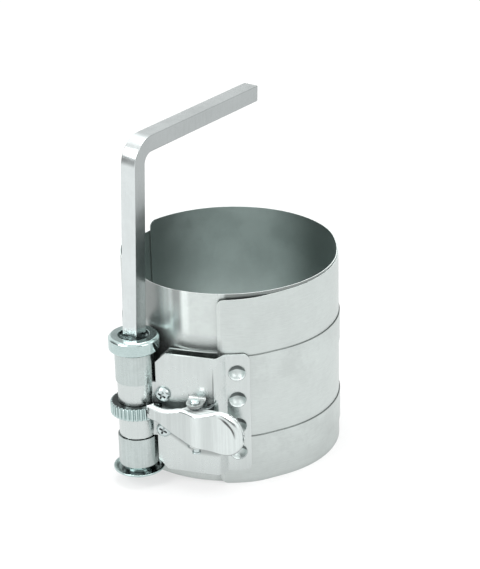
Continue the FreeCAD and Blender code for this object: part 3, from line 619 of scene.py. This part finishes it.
# Each pair is the two ends of a fade in mm.
ABOVE_LEVER_EDGE = (-3.4, 0.9)
BELOW_LEVER_EDGE = (-1.6, 0.2)
BELOW_LEVER_START = (-13.0, -10.0)
BELOW_LEVER_TOP = (24.0, 28.0)
BEHIND_LEVER = (30.0, 33.0)
STEP_SHADE_BOTTOM = (33.0, 35.0)
STEP_SHADE_TOP = (44.0, 52.0)
BESIDE_TOP = (38.0, 50.0)
HIGHLIGHT_PLACE = (4.4, 41.8)
PLATE_PAINTED_LIGHT = {"above_lever": 0.42, "step_shade": 0.5, "beside": 0.72, "spot": 1.5, "below_lever": 0.62}
CUP_SHADE_NORMAL = (-0.17, -0.10)
CUP_PAINTED_SHADE = 0.30


def above_line(tree, x, z, line, least=None):
    """How far a place lies above a slanting line on the plate, in mm."""
    level = math_node(tree, "ADD", product(tree, x, line[1]), line[0])
    if least is not None:
        level = math_node(tree, "MAXIMUM", level, least)
    return math_node(tree, "SUBTRACT", z, level)


def plate_finish():
    finish = steel("pressed_plate", (0.66, 0.71, 0.70), 0.26, (1.2, 1.2, 0.08), 0.001, tone=0.03, uneven=0.04,
                   lines_tone=0.015, crevice=0.5, open_sky=0.85, ledges=0.4)
    tree = finish["tree"]
    x, y, z = place_mm(tree)
    front = falling(tree, y, FRONT_PLATE - 0.4, FRONT_PLATE)
    height = above_line(tree, x, z, BELOW_LEVER_LINE, BELOW_LEVER_LEAST)
    masks = {
        # Painted shadow of the lever, on the plate above it.
        "above_lever": product(
            tree, falling(tree, above_line(tree, x, z, ABOVE_LEVER_LINE), *ABOVE_LEVER_EDGE),
            rising(tree, x, *PLATE_START), falling(tree, x, STEP_FOOT, STEP_FOOT + STEP_SHADE_FADE),
            rising(tree, z, *BEHIND_LEVER)),
        # Painted shade: a dark line at the foot of the step.
        "step_shade": product(
            tree, near(tree, x, STEP_FOOT, 0.1, 0.3), falling(tree, z, *STEP_SHADE_TOP),
            rising(tree, z, *STEP_SHADE_BOTTOM)),
        # Painted shade on the plate before the step, above the lever.
        "beside": product(
            tree, rising(tree, x, BESIDE_START, STEP_FOOT), falling(tree, x, STEP_FOOT, STEP_FOOT + 0.2),
            falling(tree, z, *BESIDE_TOP), rising(tree, z, *BEHIND_LEVER)),
        # Painted highlight: a small bright spot on the plate.
        "spot": product(
            tree, near(tree, x, HIGHLIGHT_PLACE[0], 0.4, 1.0), near(tree, z, HIGHLIGHT_PLACE[1], 0.3, 1.0)),
        # Painted shadow under the lever's lower edge.
        "below_lever": product(
            tree, rising(tree, height, *BELOW_LEVER_EDGE), rising(tree, x, *BELOW_LEVER_START),
            falling(tree, z, *BELOW_LEVER_TOP)),
    }
    colour = finish["tint"]
    for place, mask in masks.items():
        colour = shaded(tree, colour, product(tree, mask, front), PLATE_PAINTED_LIGHT[place])
    feed(tree, finish["shader"], Base_Color=colour)
    return finish


def cup_finish():
    finish = steel("drawn_cup", (0.66, 0.72, 0.71), 0.5, (2, 2, 2), 0.001, tone=0.03, uneven=0.03,
                   crevice=0.3, reach=2.0, open_sky=0.9)
    tree = finish["tree"]
    # Painted shade on the dish's upper wall, where it faces down.
    upper_wall_shade = falling(tree, finish["upward"], *CUP_SHADE_NORMAL)
    feed(tree, finish["shader"], Base_Color=shaded(tree, finish["tint"], upper_wall_shade, CUP_PAINTED_SHADE))
    return finish


finishes["pressed_plate"] = plate_finish()
finishes["drawn_cup"] = cup_finish()
print("bracket and cup finishes ready")

# %% [markdown]
# The lever carries painted light and shade along its length, with a bright band at its forward bend,
# painted shade on its downward faces and in the crease inside the pad's rim, and painted light on its upward
# faces. Where the crease runs is known when the lever is made, so the mesh carries it as an attribute.
# Collar, flange, wheel and spindle are turned steel with bright zinc, which has a cold green blue cast, and
# painted shade fills the gap above the wheel. One side of the key and its bend carry painted shade.

# %% Lever, zinc and key finishes
# The lever's painted light and shade along x from the pin, in mm: two ends of a range and the tone at each.
LEVER_PAINTED_LIGHT = ((-2.0, 2.0, 0.82, 1.0), (2.9, 5.0, 1.0, 0.84), (5.5, 10.0, 1.0, 1.17))
# Normals' Z values between which faces count as turned up or down, and the painted shade of downward faces.
LEVER_UPWARD = (0.05, 0.3)
LEVER_DOWNWARD = (-0.75, -0.35)
LEVER_DOWN_PAINTED_SHADE = 0.35
CREASE_PAINTED_SHADE = 0.12
GAP_SHADE_LEVEL = 34.2
GAP_PAINTED_SHADE = 0.12
# The key's side that takes painted shade, as a direction in plan, its tone, and the painted shade on its bend.
SHADED_SIDE = math.radians(-15.2)
SIDE_PAINTED_SHADE = 0.60
BEND_PAINTED_SHADE = 0.70


def lever_finish():
    finish = steel("lever_plate", (0.76, 0.82, 0.81), 0.22, (1.1, 1.1, 0.04), 0.003, tone=0.03,
                   crevice=0.1, lines_tone=0.04, ledges=0.85)
    tree = finish["tree"]
    x = math_node(tree, "SUBTRACT", place_mm(tree)[0], PIVOT[0])
    # Painted light and shade: darker towards the nose, a bright band at the forward bend, lighter again on the
    # pad.
    tone = product(tree, *(remap(tree, x, *stretch) for stretch in LEVER_PAINTED_LIGHT))
    upward = rising(tree, finish["upward"], *LEVER_UPWARD)
    colour = scaled(tree, finish["tint"], mixed(tree, upward, tone, 1.0))
    # Painted shade on the lever's downward faces.
    colour = shaded(tree, colour, falling(tree, finish["upward"], *LEVER_DOWNWARD), LEVER_DOWN_PAINTED_SHADE)
    # Painted shade in the crease inside the pad's rim, read from the mesh attribute.
    crease = add(tree, "Attribute", attribute_name="crease")
    feed(tree, finish["shader"], Base_Color=shaded(tree, colour, crease.outputs["Fac"], CREASE_PAINTED_SHADE))
    return finish


def zinc_finish():
    finish = steel("bright_zinc", (0.56, 0.68, 0.67), 0.16, (1.0, 3, 5), 0.002, wound=1.0, centre=SPINDLE,
                   crevice=0.9)
    tree = finish["tree"]
    # Painted shade in the gap above the wheel, on its upward top face.
    gap_shade = product(tree, near(tree, finish["marks"].outputs["Level mm"], GAP_SHADE_LEVEL, 0.6, 0.1),
                     rising(tree, finish["upward"], 0.6, 0.9))
    feed(tree, finish["shader"], Base_Color=shaded(tree, finish["tint"], gap_shade, GAP_PAINTED_SHADE))
    return finish


def key_finish():
    finish = steel("key_bar", (0.74, 0.79, 0.79), 0.24, (1.1, 1.1, 0.05), 0.001, tone=0.05, uneven=0.05,
                   lines_tone=0.012, crevice=0.5, ledges=0.18)
    tree = finish["tree"]
    normal = add(tree, "TexCoord").outputs["Normal"]
    # Painted shade on one side of the key and on its bend.
    side = vector_node(tree, "DOT_PRODUCT", normal, (math.cos(SHADED_SIDE), math.sin(SHADED_SIDE), 0))
    colour = shaded(tree, finish["tint"], rising(tree, side, 0.75, 0.95), SIDE_PAINTED_SHADE)
    bend_shade = near(tree, finish["upward"], 0.45, 0.25, 0.15)
    feed(tree, finish["shader"], Base_Color=shaded(tree, colour, bend_shade, BEND_PAINTED_SHADE))
    return finish


finishes["lever_plate"] = lever_finish()
finishes["bright_zinc"] = zinc_finish()
finishes["key_bar"] = key_finish()
print("all finishes:", len(finishes))

# %% [markdown]
# ## Dressing the solids
# The part's record says which finish each solid takes, so the names are read from there, not repeated.

# %% Dress the solids
slot_of = {part["node"]: part["material_slot"] for part in frame["record"]["subparts"]}
for name, solid in nodes.items():
    solid.data.materials.clear()
    solid.data.materials.append(finishes[slot_of[name]]["paint"])
print("dressed:", len(slot_of))

# %% [markdown]
# ## Broken edges
# No cut edge on a real tool is perfectly sharp: tumbling and plating round it, and the small round catches
# a bright line of light. A Bevel modifier adds it to the solids of sheet, bar and turned stock. The solids
# come in with each face's corners apart, so a Weld modifier joins them first, and weighted normals keep
# the broad faces flat. The strip and the bands are too thin for it and keep their cut edges.

# %% Edge breaks
# Each width is in mm.
EDGE_BREAKS = {
    "crank_key": 0.30, "bracket": 0.13, "top_collar": 0.22, "bottom_flange": 0.12, "clamp_screws": 0.12,
    "pivot_pin": 0.15, "ratchet_wheel": 0.06,
}
SHARP_ANGLE = math.radians(32)


def break_edges(solid, width, angle):
    """Narrow bevels on every edge that turns by more than an angle."""
    bevel = solid.modifiers.new("broken_edges", "BEVEL")
    bevel.width = width * MM
    bevel.segments = 2
    bevel.limit_method = "ANGLE"
    bevel.angle_limit = angle
    solid.modifiers.new("flat_faces", "WEIGHTED_NORMAL")


for name, width in EDGE_BREAKS.items():
    weld = nodes[name].modifiers.new("joined_corners", "WELD")
    weld.merge_threshold = 0.001 * MM
    break_edges(nodes[name], width, SHARP_ANGLE)
print("edges broken on", len(EDGE_BREAKS))

# %% [markdown]
# ## The strip's drooping edge
# The strip was wound a little askew, so on the bracket's side its upper edge sinks by up to two millimetres.
# The solid has a level edge. A Geometry Nodes modifier lowers only what lies near the top, more on the
# bracket's side, and leaves the rest alone.

# %% Drooping edge
DROOP = 2.0
DROOP_DIRECTION = math.radians(-50.0)
DROOP_FROM = 60.0
DROOP_FULL_AT = 26.0
DROOP_POWER = 4.6


def drooping_edge(solid):
    tree, given, out = new_group("drooping_edge", [("Geometry", "Geometry", None)], [("Geometry", "Geometry")],
                                 "GeometryNodeTree")
    position = tree.nodes.new("GeometryNodeInputPosition").outputs[0]
    towards = vector_node(tree, "DOT_PRODUCT", position,
                          (math.cos(DROOP_DIRECTION), math.sin(DROOP_DIRECTION), 0))
    side = rising(tree, towards, 0.0, DROOP_FULL_AT * MM)
    level = add(tree, "SeparateXYZ", Vector=position).outputs["Z"]
    height = remap(tree, level, DROOP_FROM * MM, SLEEVE_HEIGHT * MM, 0.0, 1.0, smooth=False)
    share = product(tree, side, math_node(tree, "POWER", height, DROOP_POWER))
    lower = tree.nodes.new("GeometryNodeSetPosition")
    offset = add(tree, "CombineXYZ", Z=product(tree, share, -DROOP * MM)).outputs[0]
    feed(tree, lower, Geometry=given.outputs[0], Offset=offset)
    join(tree, lower.outputs[0], out.inputs[0])
    solid.modifiers.new("drooping_edge", "NODES").node_group = tree


drooping_edge(nodes["sleeve"])
print("edge lowered by up to", DROOP, "mm")

# %% [markdown]
# ## From points to a piece
# Every detailed piece below is made from its own points and faces. Lists of vertices are plain and exact,
# and one helper turns them into an object with smooth faces, its finish and the body that it rides on.

# %% Mesh helper


def make_piece(name, points, faces, slot, body, node):
    """A mesh object from points in mm, dressed, riding on a body in place of a solid."""
    mesh = bpy.data.meshes.new(name)
    mesh.from_pydata([[MM * value for value in point] for point in points], [], faces)
    mesh.validate()
    mesh.polygons.foreach_set("use_smooth", [True] * len(mesh.polygons))
    mesh.materials.append(finishes[slot]["paint"])
    piece = bpy.data.objects.new(name, mesh)
    bpy.context.scene.collection.objects.link(piece)
    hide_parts(node)
    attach(piece, body)
    return piece


def bridge(faces, first, second, count):
    """Quads between two closed rows of points that start at two indices."""
    for i in range(count):
        j = (i + 1) % count
        faces.append((first + i, first + j, second + j, second + i))


print("mesh helpers ready")

# %% [markdown]
# ## Clinch cups
# Four cups are drawn out of small discs and clinch the bracket's leaves, the strip and the bands together.
# Each shows a deep round dish with a crisp rim. A sphere cut out of the leaf would have the wrong curve
# near the rim, so the dish is turned from its own profile: nearly flat in the middle and steep at the edge.

# %% Cups
CUP_ANGLE = math.radians(-68.8)
CUP_LEVELS = (14.2, 25.2, 36.2, 47.2)
CUP_RADIUS = 3.28
CUP_FACE = 44.93
CUP_DEPTH = 2.8
DISH_DEPTH = 2.15
DISH_RADIUS = CUP_RADIUS * 0.955
DISH_POWER = 2.6
DISH_STEPS = 9
LIP_RADIUS = CUP_RADIUS * 0.985
LIP_RISE = 0.04
# How far in from the wall and up from the bottom each point of the cup's round foot lies.
FOOT_ROUND = ((0.0, 0.7), (0.25, 0.2), (0.8, 0.0))
CUP_ROUND = 40


def cup_profile():
    """(radius, depth) pairs from near the dish's middle over the rim to the edge of the cup's bottom."""
    dish = []
    for step in range(1, DISH_STEPS + 1):
        share = step / DISH_STEPS
        dish.append((DISH_RADIUS * share, DISH_DEPTH * (1 - share ** DISH_POWER)))
    rim = [(LIP_RADIUS, -LIP_RISE), (CUP_RADIUS, 0.05)]
    foot = [(CUP_RADIUS - inwards, CUP_DEPTH - up) for inwards, up in FOOT_ROUND]
    return dish + rim + foot


def cup_point(depth, side, level):
    """A point behind the cups' common face and to one side of their line."""
    reach = CUP_FACE - depth
    return (math.cos(CUP_ANGLE) * reach - math.sin(CUP_ANGLE) * side,
            math.sin(CUP_ANGLE) * reach + math.cos(CUP_ANGLE) * side, level)


def make_cups():
    turns = [2 * math.pi * step / CUP_ROUND for step in range(CUP_ROUND)]
    profile = cup_profile()
    points, faces = [], []
    for level in CUP_LEVELS:
        start = len(points)
        last = start + (len(profile) - 1) * CUP_ROUND
        for radius, depth in profile:
            for turn in turns:
                points.append(cup_point(depth, radius * math.cos(turn), level + radius * math.sin(turn)))
        for row in range(start, last, CUP_ROUND):
            bridge(faces, row, row + CUP_ROUND, CUP_ROUND)
        middle, bottom = len(points), len(points) + 1
        points += [cup_point(DISH_DEPTH, 0, level), cup_point(CUP_DEPTH, 0, level)]
        for step in range(CUP_ROUND):
            after = (step + 1) % CUP_ROUND
            faces.append((start + after, start + step, middle))
            faces.append((last + step, last + after, bottom))
    return make_piece("clinch_cups_drawn", points, faces, "drawn_cup", "frame", "clinch_cups")


cups = make_cups()
print("cups:", len(CUP_LEVELS), "faces:", len(cups.data.polygons))

# %% [markdown]
# ## The pawl lever
# The lever is one pressing: a face that bends forward over the pivot and back again to the thumb pad, with
# its border rolled back. The roll is tight along the nose and the lower edge, and opens into a broad soft
# shoulder round the pad. Extruding an outline would give a flat border, and sculpting would lose the exact
# outline. So the outline is drawn first, as on a flat sheet. Rows of points are then set inwards from it,
# each a little further along a quarter circle, and the flat part between the last rows is filled with
# lines from the lower edge to the upper one. The plan bend is added to every point at the end.

# %% Lever outline and plan
LEVER_TOP = 34.9
PLAN_CORNERS = ((-20.0, -3.35), (-5.6, -2.6), (2.6, -6.5), (8.3, -2.1), (20.0, 0.9))
PLAN_RADII = (8.0, 4.0, 5.0)
LOWER_EDGE = (
    (-18.3, 30.2), (-16.9, 29.7), (-14.7, 28.9), (-12.5, 27.4), (-9.6, 25.2), (-6.7, 23.3), (-3.5, 22.0),
    (0.2, 21.5), (3.4, 21.1), (6.4, 19.6), (8.8, 18.2), (11.6, 17.3), (14.3, 17.4), (16.5, 18.9), (17.8, 21.2),
    (18.0, 23.6),
)
UPPER_EDGE = (
    (-18.3, 35.7), (-16.5, 35.1), (-14.2, 34.1), (-12.0, 33.7), (-9.3, 33.9), (-6.5, 34.5), (-3.5, 34.9),
    (0.0, 34.9), (5.0, 34.9), (9.0, 34.9), (11.5, 34.4), (13.9, 33.0), (15.9, 30.8), (17.2, 28.2),
    (17.9, 25.5), (18.0, 23.6),
)
BEND_STEPS = 8
HALF_ROW = 48


def plan_curve():
    """The lever's face in plan as (x, y) samples from the nose to the pad, with rounded corners."""
    curve = [PLAN_CORNERS[0]]
    for before, corner, after, radius in zip(PLAN_CORNERS, PLAN_CORNERS[1:], PLAN_CORNERS[2:], PLAN_RADII):
        entry = Vector((corner[0] - before[0], corner[1] - before[1])).normalized()
        leave = Vector((after[0] - corner[0], after[1] - corner[1])).normalized()
        cut_back = radius * math.tan(entry.angle(leave) / 2)
        first, last = Vector(corner) - entry * cut_back, Vector(corner) + leave * cut_back
        for step in range(BEND_STEPS + 1):
            share = step / BEND_STEPS
            pull = first.lerp(Vector(corner), share).lerp(Vector(corner).lerp(last, share), share)
            curve.append((pull.x, pull.y))
    return curve + [PLAN_CORNERS[-1]]


def depth_at(curve, x):
    """A curve's y at an x; more negative is further forward."""
    for (x0, y0), (x1, y1) in zip(curve, curve[1:]):
        if x <= x1:
            return y0 + (y1 - y0) * (x - x0) / (x1 - x0)
    return curve[-1][1]


def smooth_line(points, steps=6):
    """A soft line through points: between two of them it leans on the neighbours on both sides."""
    ends = [points[0]] + list(points) + [points[-1]]
    line = []
    for a, b, c, d in zip(ends, ends[1:], ends[2:], ends[3:]):
        for step in range(steps):
            t = step / steps
            weights = (-t ** 3 + 2 * t ** 2 - t, 3 * t ** 3 - 5 * t ** 2 + 2, -3 * t ** 3 + 4 * t ** 2 + t,
                       t ** 3 - t ** 2)
            line.append(tuple(sum(w * p[k] for w, p in zip(weights, (a, b, c, d))) / 2 for k in (0, 1)))
    return line + [tuple(points[-1])]


def evenly(points, count):
    """A polyline resampled into a number of points at equal distances along it."""
    lengths = [0.0]
    for before, after in zip(points, points[1:]):
        lengths.append(lengths[-1] + math.dist(before, after))
    found, k = [], 0
    for step in range(count):
        target = lengths[-1] * step / (count - 1)
        while k < len(lengths) - 2 and lengths[k + 1] < target:
            k += 1
        share = (target - lengths[k]) / max(lengths[k + 1] - lengths[k], 1e-9)
        found.append(tuple(a + (b - a) * share for a, b in zip(points[k], points[k + 1])))
    return found


plan = plan_curve()
lower_row = evenly(smooth_line(LOWER_EDGE), HALF_ROW)
upper_row = evenly(smooth_line(UPPER_EDGE), HALF_ROW)
outline = lower_row + upper_row[-2::-1]
print("lever outline points:", len(outline))

# %% Lever border
RIM_DEPTH = 2.6
ROLL_STEPS = 6
ROLL_TIGHT = 0.8
ROLL_EXTRA = 1.5
PAD_START = 7.0
PAD_FOOT = 14.0
PAD_SPAN = 9.0
CREASE_START = (9.5, 24.5)
CREASE_EASE = 3.5
CREASE_SINK = 0.35
# Each row inside the roll has its distance from it and how far it sinks in the crease.
INNER_ROWS = ((0.15, CREASE_SINK), (0.5, CREASE_SINK), (0.75, 0.0))
# How much of the crease's painted shade lies on the last rows, from the roll's end inwards.
CREASE_SHADE_SHARES = (0.3, 1.0, 1.0, 0.0)
EVEN_ROUNDS = 8
NOSE_CORNERS = ((0.7, 0.7), (0.7, -0.7))


def ramp(value, start, span):
    return min(max((value - start) / span, 0.0), 1.0)


def roll_radius(x, z):
    """The radius of the rolled border, tight at the nose and below, broad round the pad."""
    pad = ramp(x, PAD_START, PAD_SPAN)
    return ROLL_TIGHT + ROLL_EXTRA * pad * pad * (3 - 2 * pad) * ramp(z, PAD_FOOT, PAD_SPAN)


def creased(x, z):
    """How deep the crease inside the rim is at an outline point: only round the pad's upper right."""
    return ramp(x, CREASE_START[0], CREASE_EASE) * ramp(z, CREASE_START[1], CREASE_EASE)


def inward(before, after):
    """The direction into the face between two points of an outline that runs anticlockwise."""
    length = math.dist(before, after)
    return (before[1] - after[1]) / length, (after[0] - before[0]) / length


def inward_all():
    """The inward direction at every outline point, evened out so that inset rows never cross."""
    found = [inward(before, after) for before, after in zip(outline, outline[2:])]
    found = [inward(*outline[:2])] + found + [inward(*outline[-2:])]
    for _ in range(EVEN_ROUNDS):
        middle = []
        for a, b, c in zip(found, found[1:], found[2:]):
            middle.append(tuple((a[k] + 2 * b[k] + c[k]) / 4 for k in (0, 1)))
        found = [found[0]] + middle + [found[-1]]
    found = [(nx / math.hypot(nx, nz), nz / math.hypot(nx, nz)) for nx, nz in found]
    found[0], found[-1] = NOSE_CORNERS
    return found


def border_rows(creases):
    """Rows of (x, z, distance back) from the rim's rear edge over the roll to the start of the flat face."""
    normals = inward_all()
    rows = [[(x, z, back) for x, z in outline] for back in (RIM_DEPTH, (RIM_DEPTH + 1.0) / 2)]
    for step in range(ROLL_STEPS + 1):
        turn = math.pi / 2 * step / ROLL_STEPS
        row = []
        for (x, z), (nx, nz) in zip(outline, normals):
            radius = roll_radius(x, z)
            inset = radius * (1 - math.cos(turn))
            row.append((x + nx * inset, z + nz * inset, radius * (1 - math.sin(turn))))
        rows.append(row)
    for extra, sink in INNER_ROWS:
        row = []
        for (x, z), (nx, nz), crease in zip(outline, normals, creases):
            inset = roll_radius(x, z) + extra
            row.append((x + nx * inset, z + nz * inset, sink * crease))
        rows.append(row)
    return rows


creases = [creased(x, z) for x, z in outline]
border = border_rows(creases)
print("border rows:", len(border), "creased points:", sum(crease > 0 for crease in creases))

# %% Lever shell
FACE_ROWS = 12
TIP_ROWS = 10
WHEEL_CLEAR = 10.14


def clear_of_wheel(x, y):
    """A point moved sideways until it stands clear of the ratchet wheel's teeth."""
    drop = y - SPINDLE[1]
    return max(x, SPINDLE[0] + math.sqrt(max(WHEEL_CLEAR ** 2 - drop * drop, 0.0)))


def fill_face(flat, faces, last, count):
    """Lines across the flat face between its lower and upper edge, and one face that closes the pad's tip."""
    grid = []
    for i in range(HALF_ROW - TIP_ROWS):
        low, high = last + i, last + count - 1 - i
        column = [low]
        for step in range(1, FACE_ROWS):
            share = step / FACE_ROWS
            flat.append(tuple(a + (b - a) * share for a, b in zip(flat[low], flat[high])))
            column.append(len(flat) - 1)
        grid.append(column + [high])
    for left, right in zip(grid, grid[1:]):
        for step in range(FACE_ROWS):
            faces.append((left[step], right[step], right[step + 1], left[step + 1]))
    faces.append(tuple(range(grid[-1][0], grid[-1][-1])) + tuple(reversed(grid[-1][1:])))


def lever_shell():
    """The shell's points and faces, and how much painted shade the crease puts on each point."""
    count = len(outline)
    flat, faces = [point for row in border for point in row], []
    last = len(flat) - count
    for row in range(0, last, count):
        bridge(faces, row, row + count, count)
    fill_face(flat, faces, last, count)
    points = []
    for x, z, back in flat:
        y = PIVOT[1] + depth_at(plan, x) + back
        points.append((clear_of_wheel(PIVOT[0] + x, y), y, z))
    crease_shade = [0.0] * len(points)
    for row, share in enumerate(CREASE_SHADE_SHARES, start=len(border) - len(CREASE_SHADE_SHARES)):
        for i, crease in enumerate(creases):
            crease_shade[row * count + i] = share * crease
    return points, faces, crease_shade


shell_points, shell_faces, shell_crease_shade = lever_shell()
print("shell points:", len(shell_points))

# %% [markdown]
# The two ears are the tabs that the pin goes through, folded back from the top and the bottom of the face.
# Each is a flat plate with a round end and a hole. Seen from the pin, every direction meets the edge just
# once, so the plate is a ring of quads between the hole and that edge.

# %% Lever ears
EAR_SHEET = 0.95
EAR_RADIUS = 3.1
EAR_HOLE = 1.37
EAR_ROUND = 96
EAR_GAP = 0.06
EAR_STEP = 0.02
EAR_LIMIT = 14.0
EAR_FRONT = -1.5
# Each ear has its underside's level, its distance behind the face, and its rear edge in plan from the pin.
UPPER_EAR = {"bottom": LEVER_TOP - EAR_GAP - EAR_SHEET, "inset": 1.0,
             "back": ((-5.2, -0.6), (-3.6, 1.2), (3.2, 1.2), (7.0, 0.9), (10.0, 0.4), (13.0, -0.3))}
LOWER_EAR = {"bottom": 21.15, "inset": 0.4, "back": ((-1.2, 0.0), (3.4, 0.0))}


def ear_covers(ear, x, y):
    """True for a point in plan, measured from the pin, that lies on the ear."""
    in_round = x * x + y * y <= EAR_RADIUS ** 2
    if in_round and y >= 0:
        return True
    left, right = ear["back"][0][0], ear["back"][-1][0]
    if not left <= x <= right or y < depth_at(plan, x) + ear["inset"]:
        return in_round and y > EAR_FRONT
    back = depth_at(ear["back"], x)
    if abs(x) < EAR_RADIUS:
        back = max(back, 0.0)
    return y <= back


def ear_reach(ear, turn):
    """Distance from the pin's axis to the ear's edge in a direction in plan."""
    reach = EAR_HOLE + 0.5
    while reach < EAR_LIMIT and ear_covers(ear, reach * math.cos(turn), reach * math.sin(turn)):
        reach += EAR_STEP
    return reach


def ear_mesh(ear):
    turns = [2 * math.pi * step / EAR_ROUND for step in range(EAR_ROUND)]
    edge = [ear_reach(ear, turn) for turn in turns]
    hole = [EAR_HOLE] * EAR_ROUND
    low, high = ear["bottom"], ear["bottom"] + EAR_SHEET
    points, faces = [], []
    for level, reaches in ((low, hole), (low, edge), (high, edge), (high, hole)):
        for turn, reach in zip(turns, reaches):
            points.append((PIVOT[0] + reach * math.cos(turn), PIVOT[1] + reach * math.sin(turn), level))
    for row in range(4):
        bridge(faces, row * EAR_ROUND, ((row + 1) % 4) * EAR_ROUND, EAR_ROUND)
    return points, faces


print("ear ready, reaching", round(ear_reach(UPPER_EAR, 0.0), 2), "mm to the right of the pin")

# %% Put the lever together
LEVER_SHEET = 0.75
EAR_BREAK = 0.12
EAR_SHARP_ANGLE = math.radians(30)


def make_lever():
    shell = make_piece("lever_face", shell_points, shell_faces, "lever_plate", "pawl", "pawl_lever")
    shell.data.attributes.new("crease", "FLOAT", "POINT").data.foreach_set("value", shell_crease_shade)
    sheet = shell.modifiers.new("sheet", "SOLIDIFY")
    sheet.thickness = LEVER_SHEET * MM
    sheet.offset = -1.0
    pieces = [shell]
    for name, shape in (("lever_upper_ear", UPPER_EAR), ("lever_lower_ear", LOWER_EAR)):
        ear = make_piece(name, *ear_mesh(shape), "lever_plate", "pawl", "pawl_lever")
        break_edges(ear, EAR_BREAK, EAR_SHARP_ANGLE)
        pieces.append(ear)
    return pieces


lever = make_lever()
print("lever pieces:", len(lever), "faces:", [len(piece.data.polygons) for piece in lever])
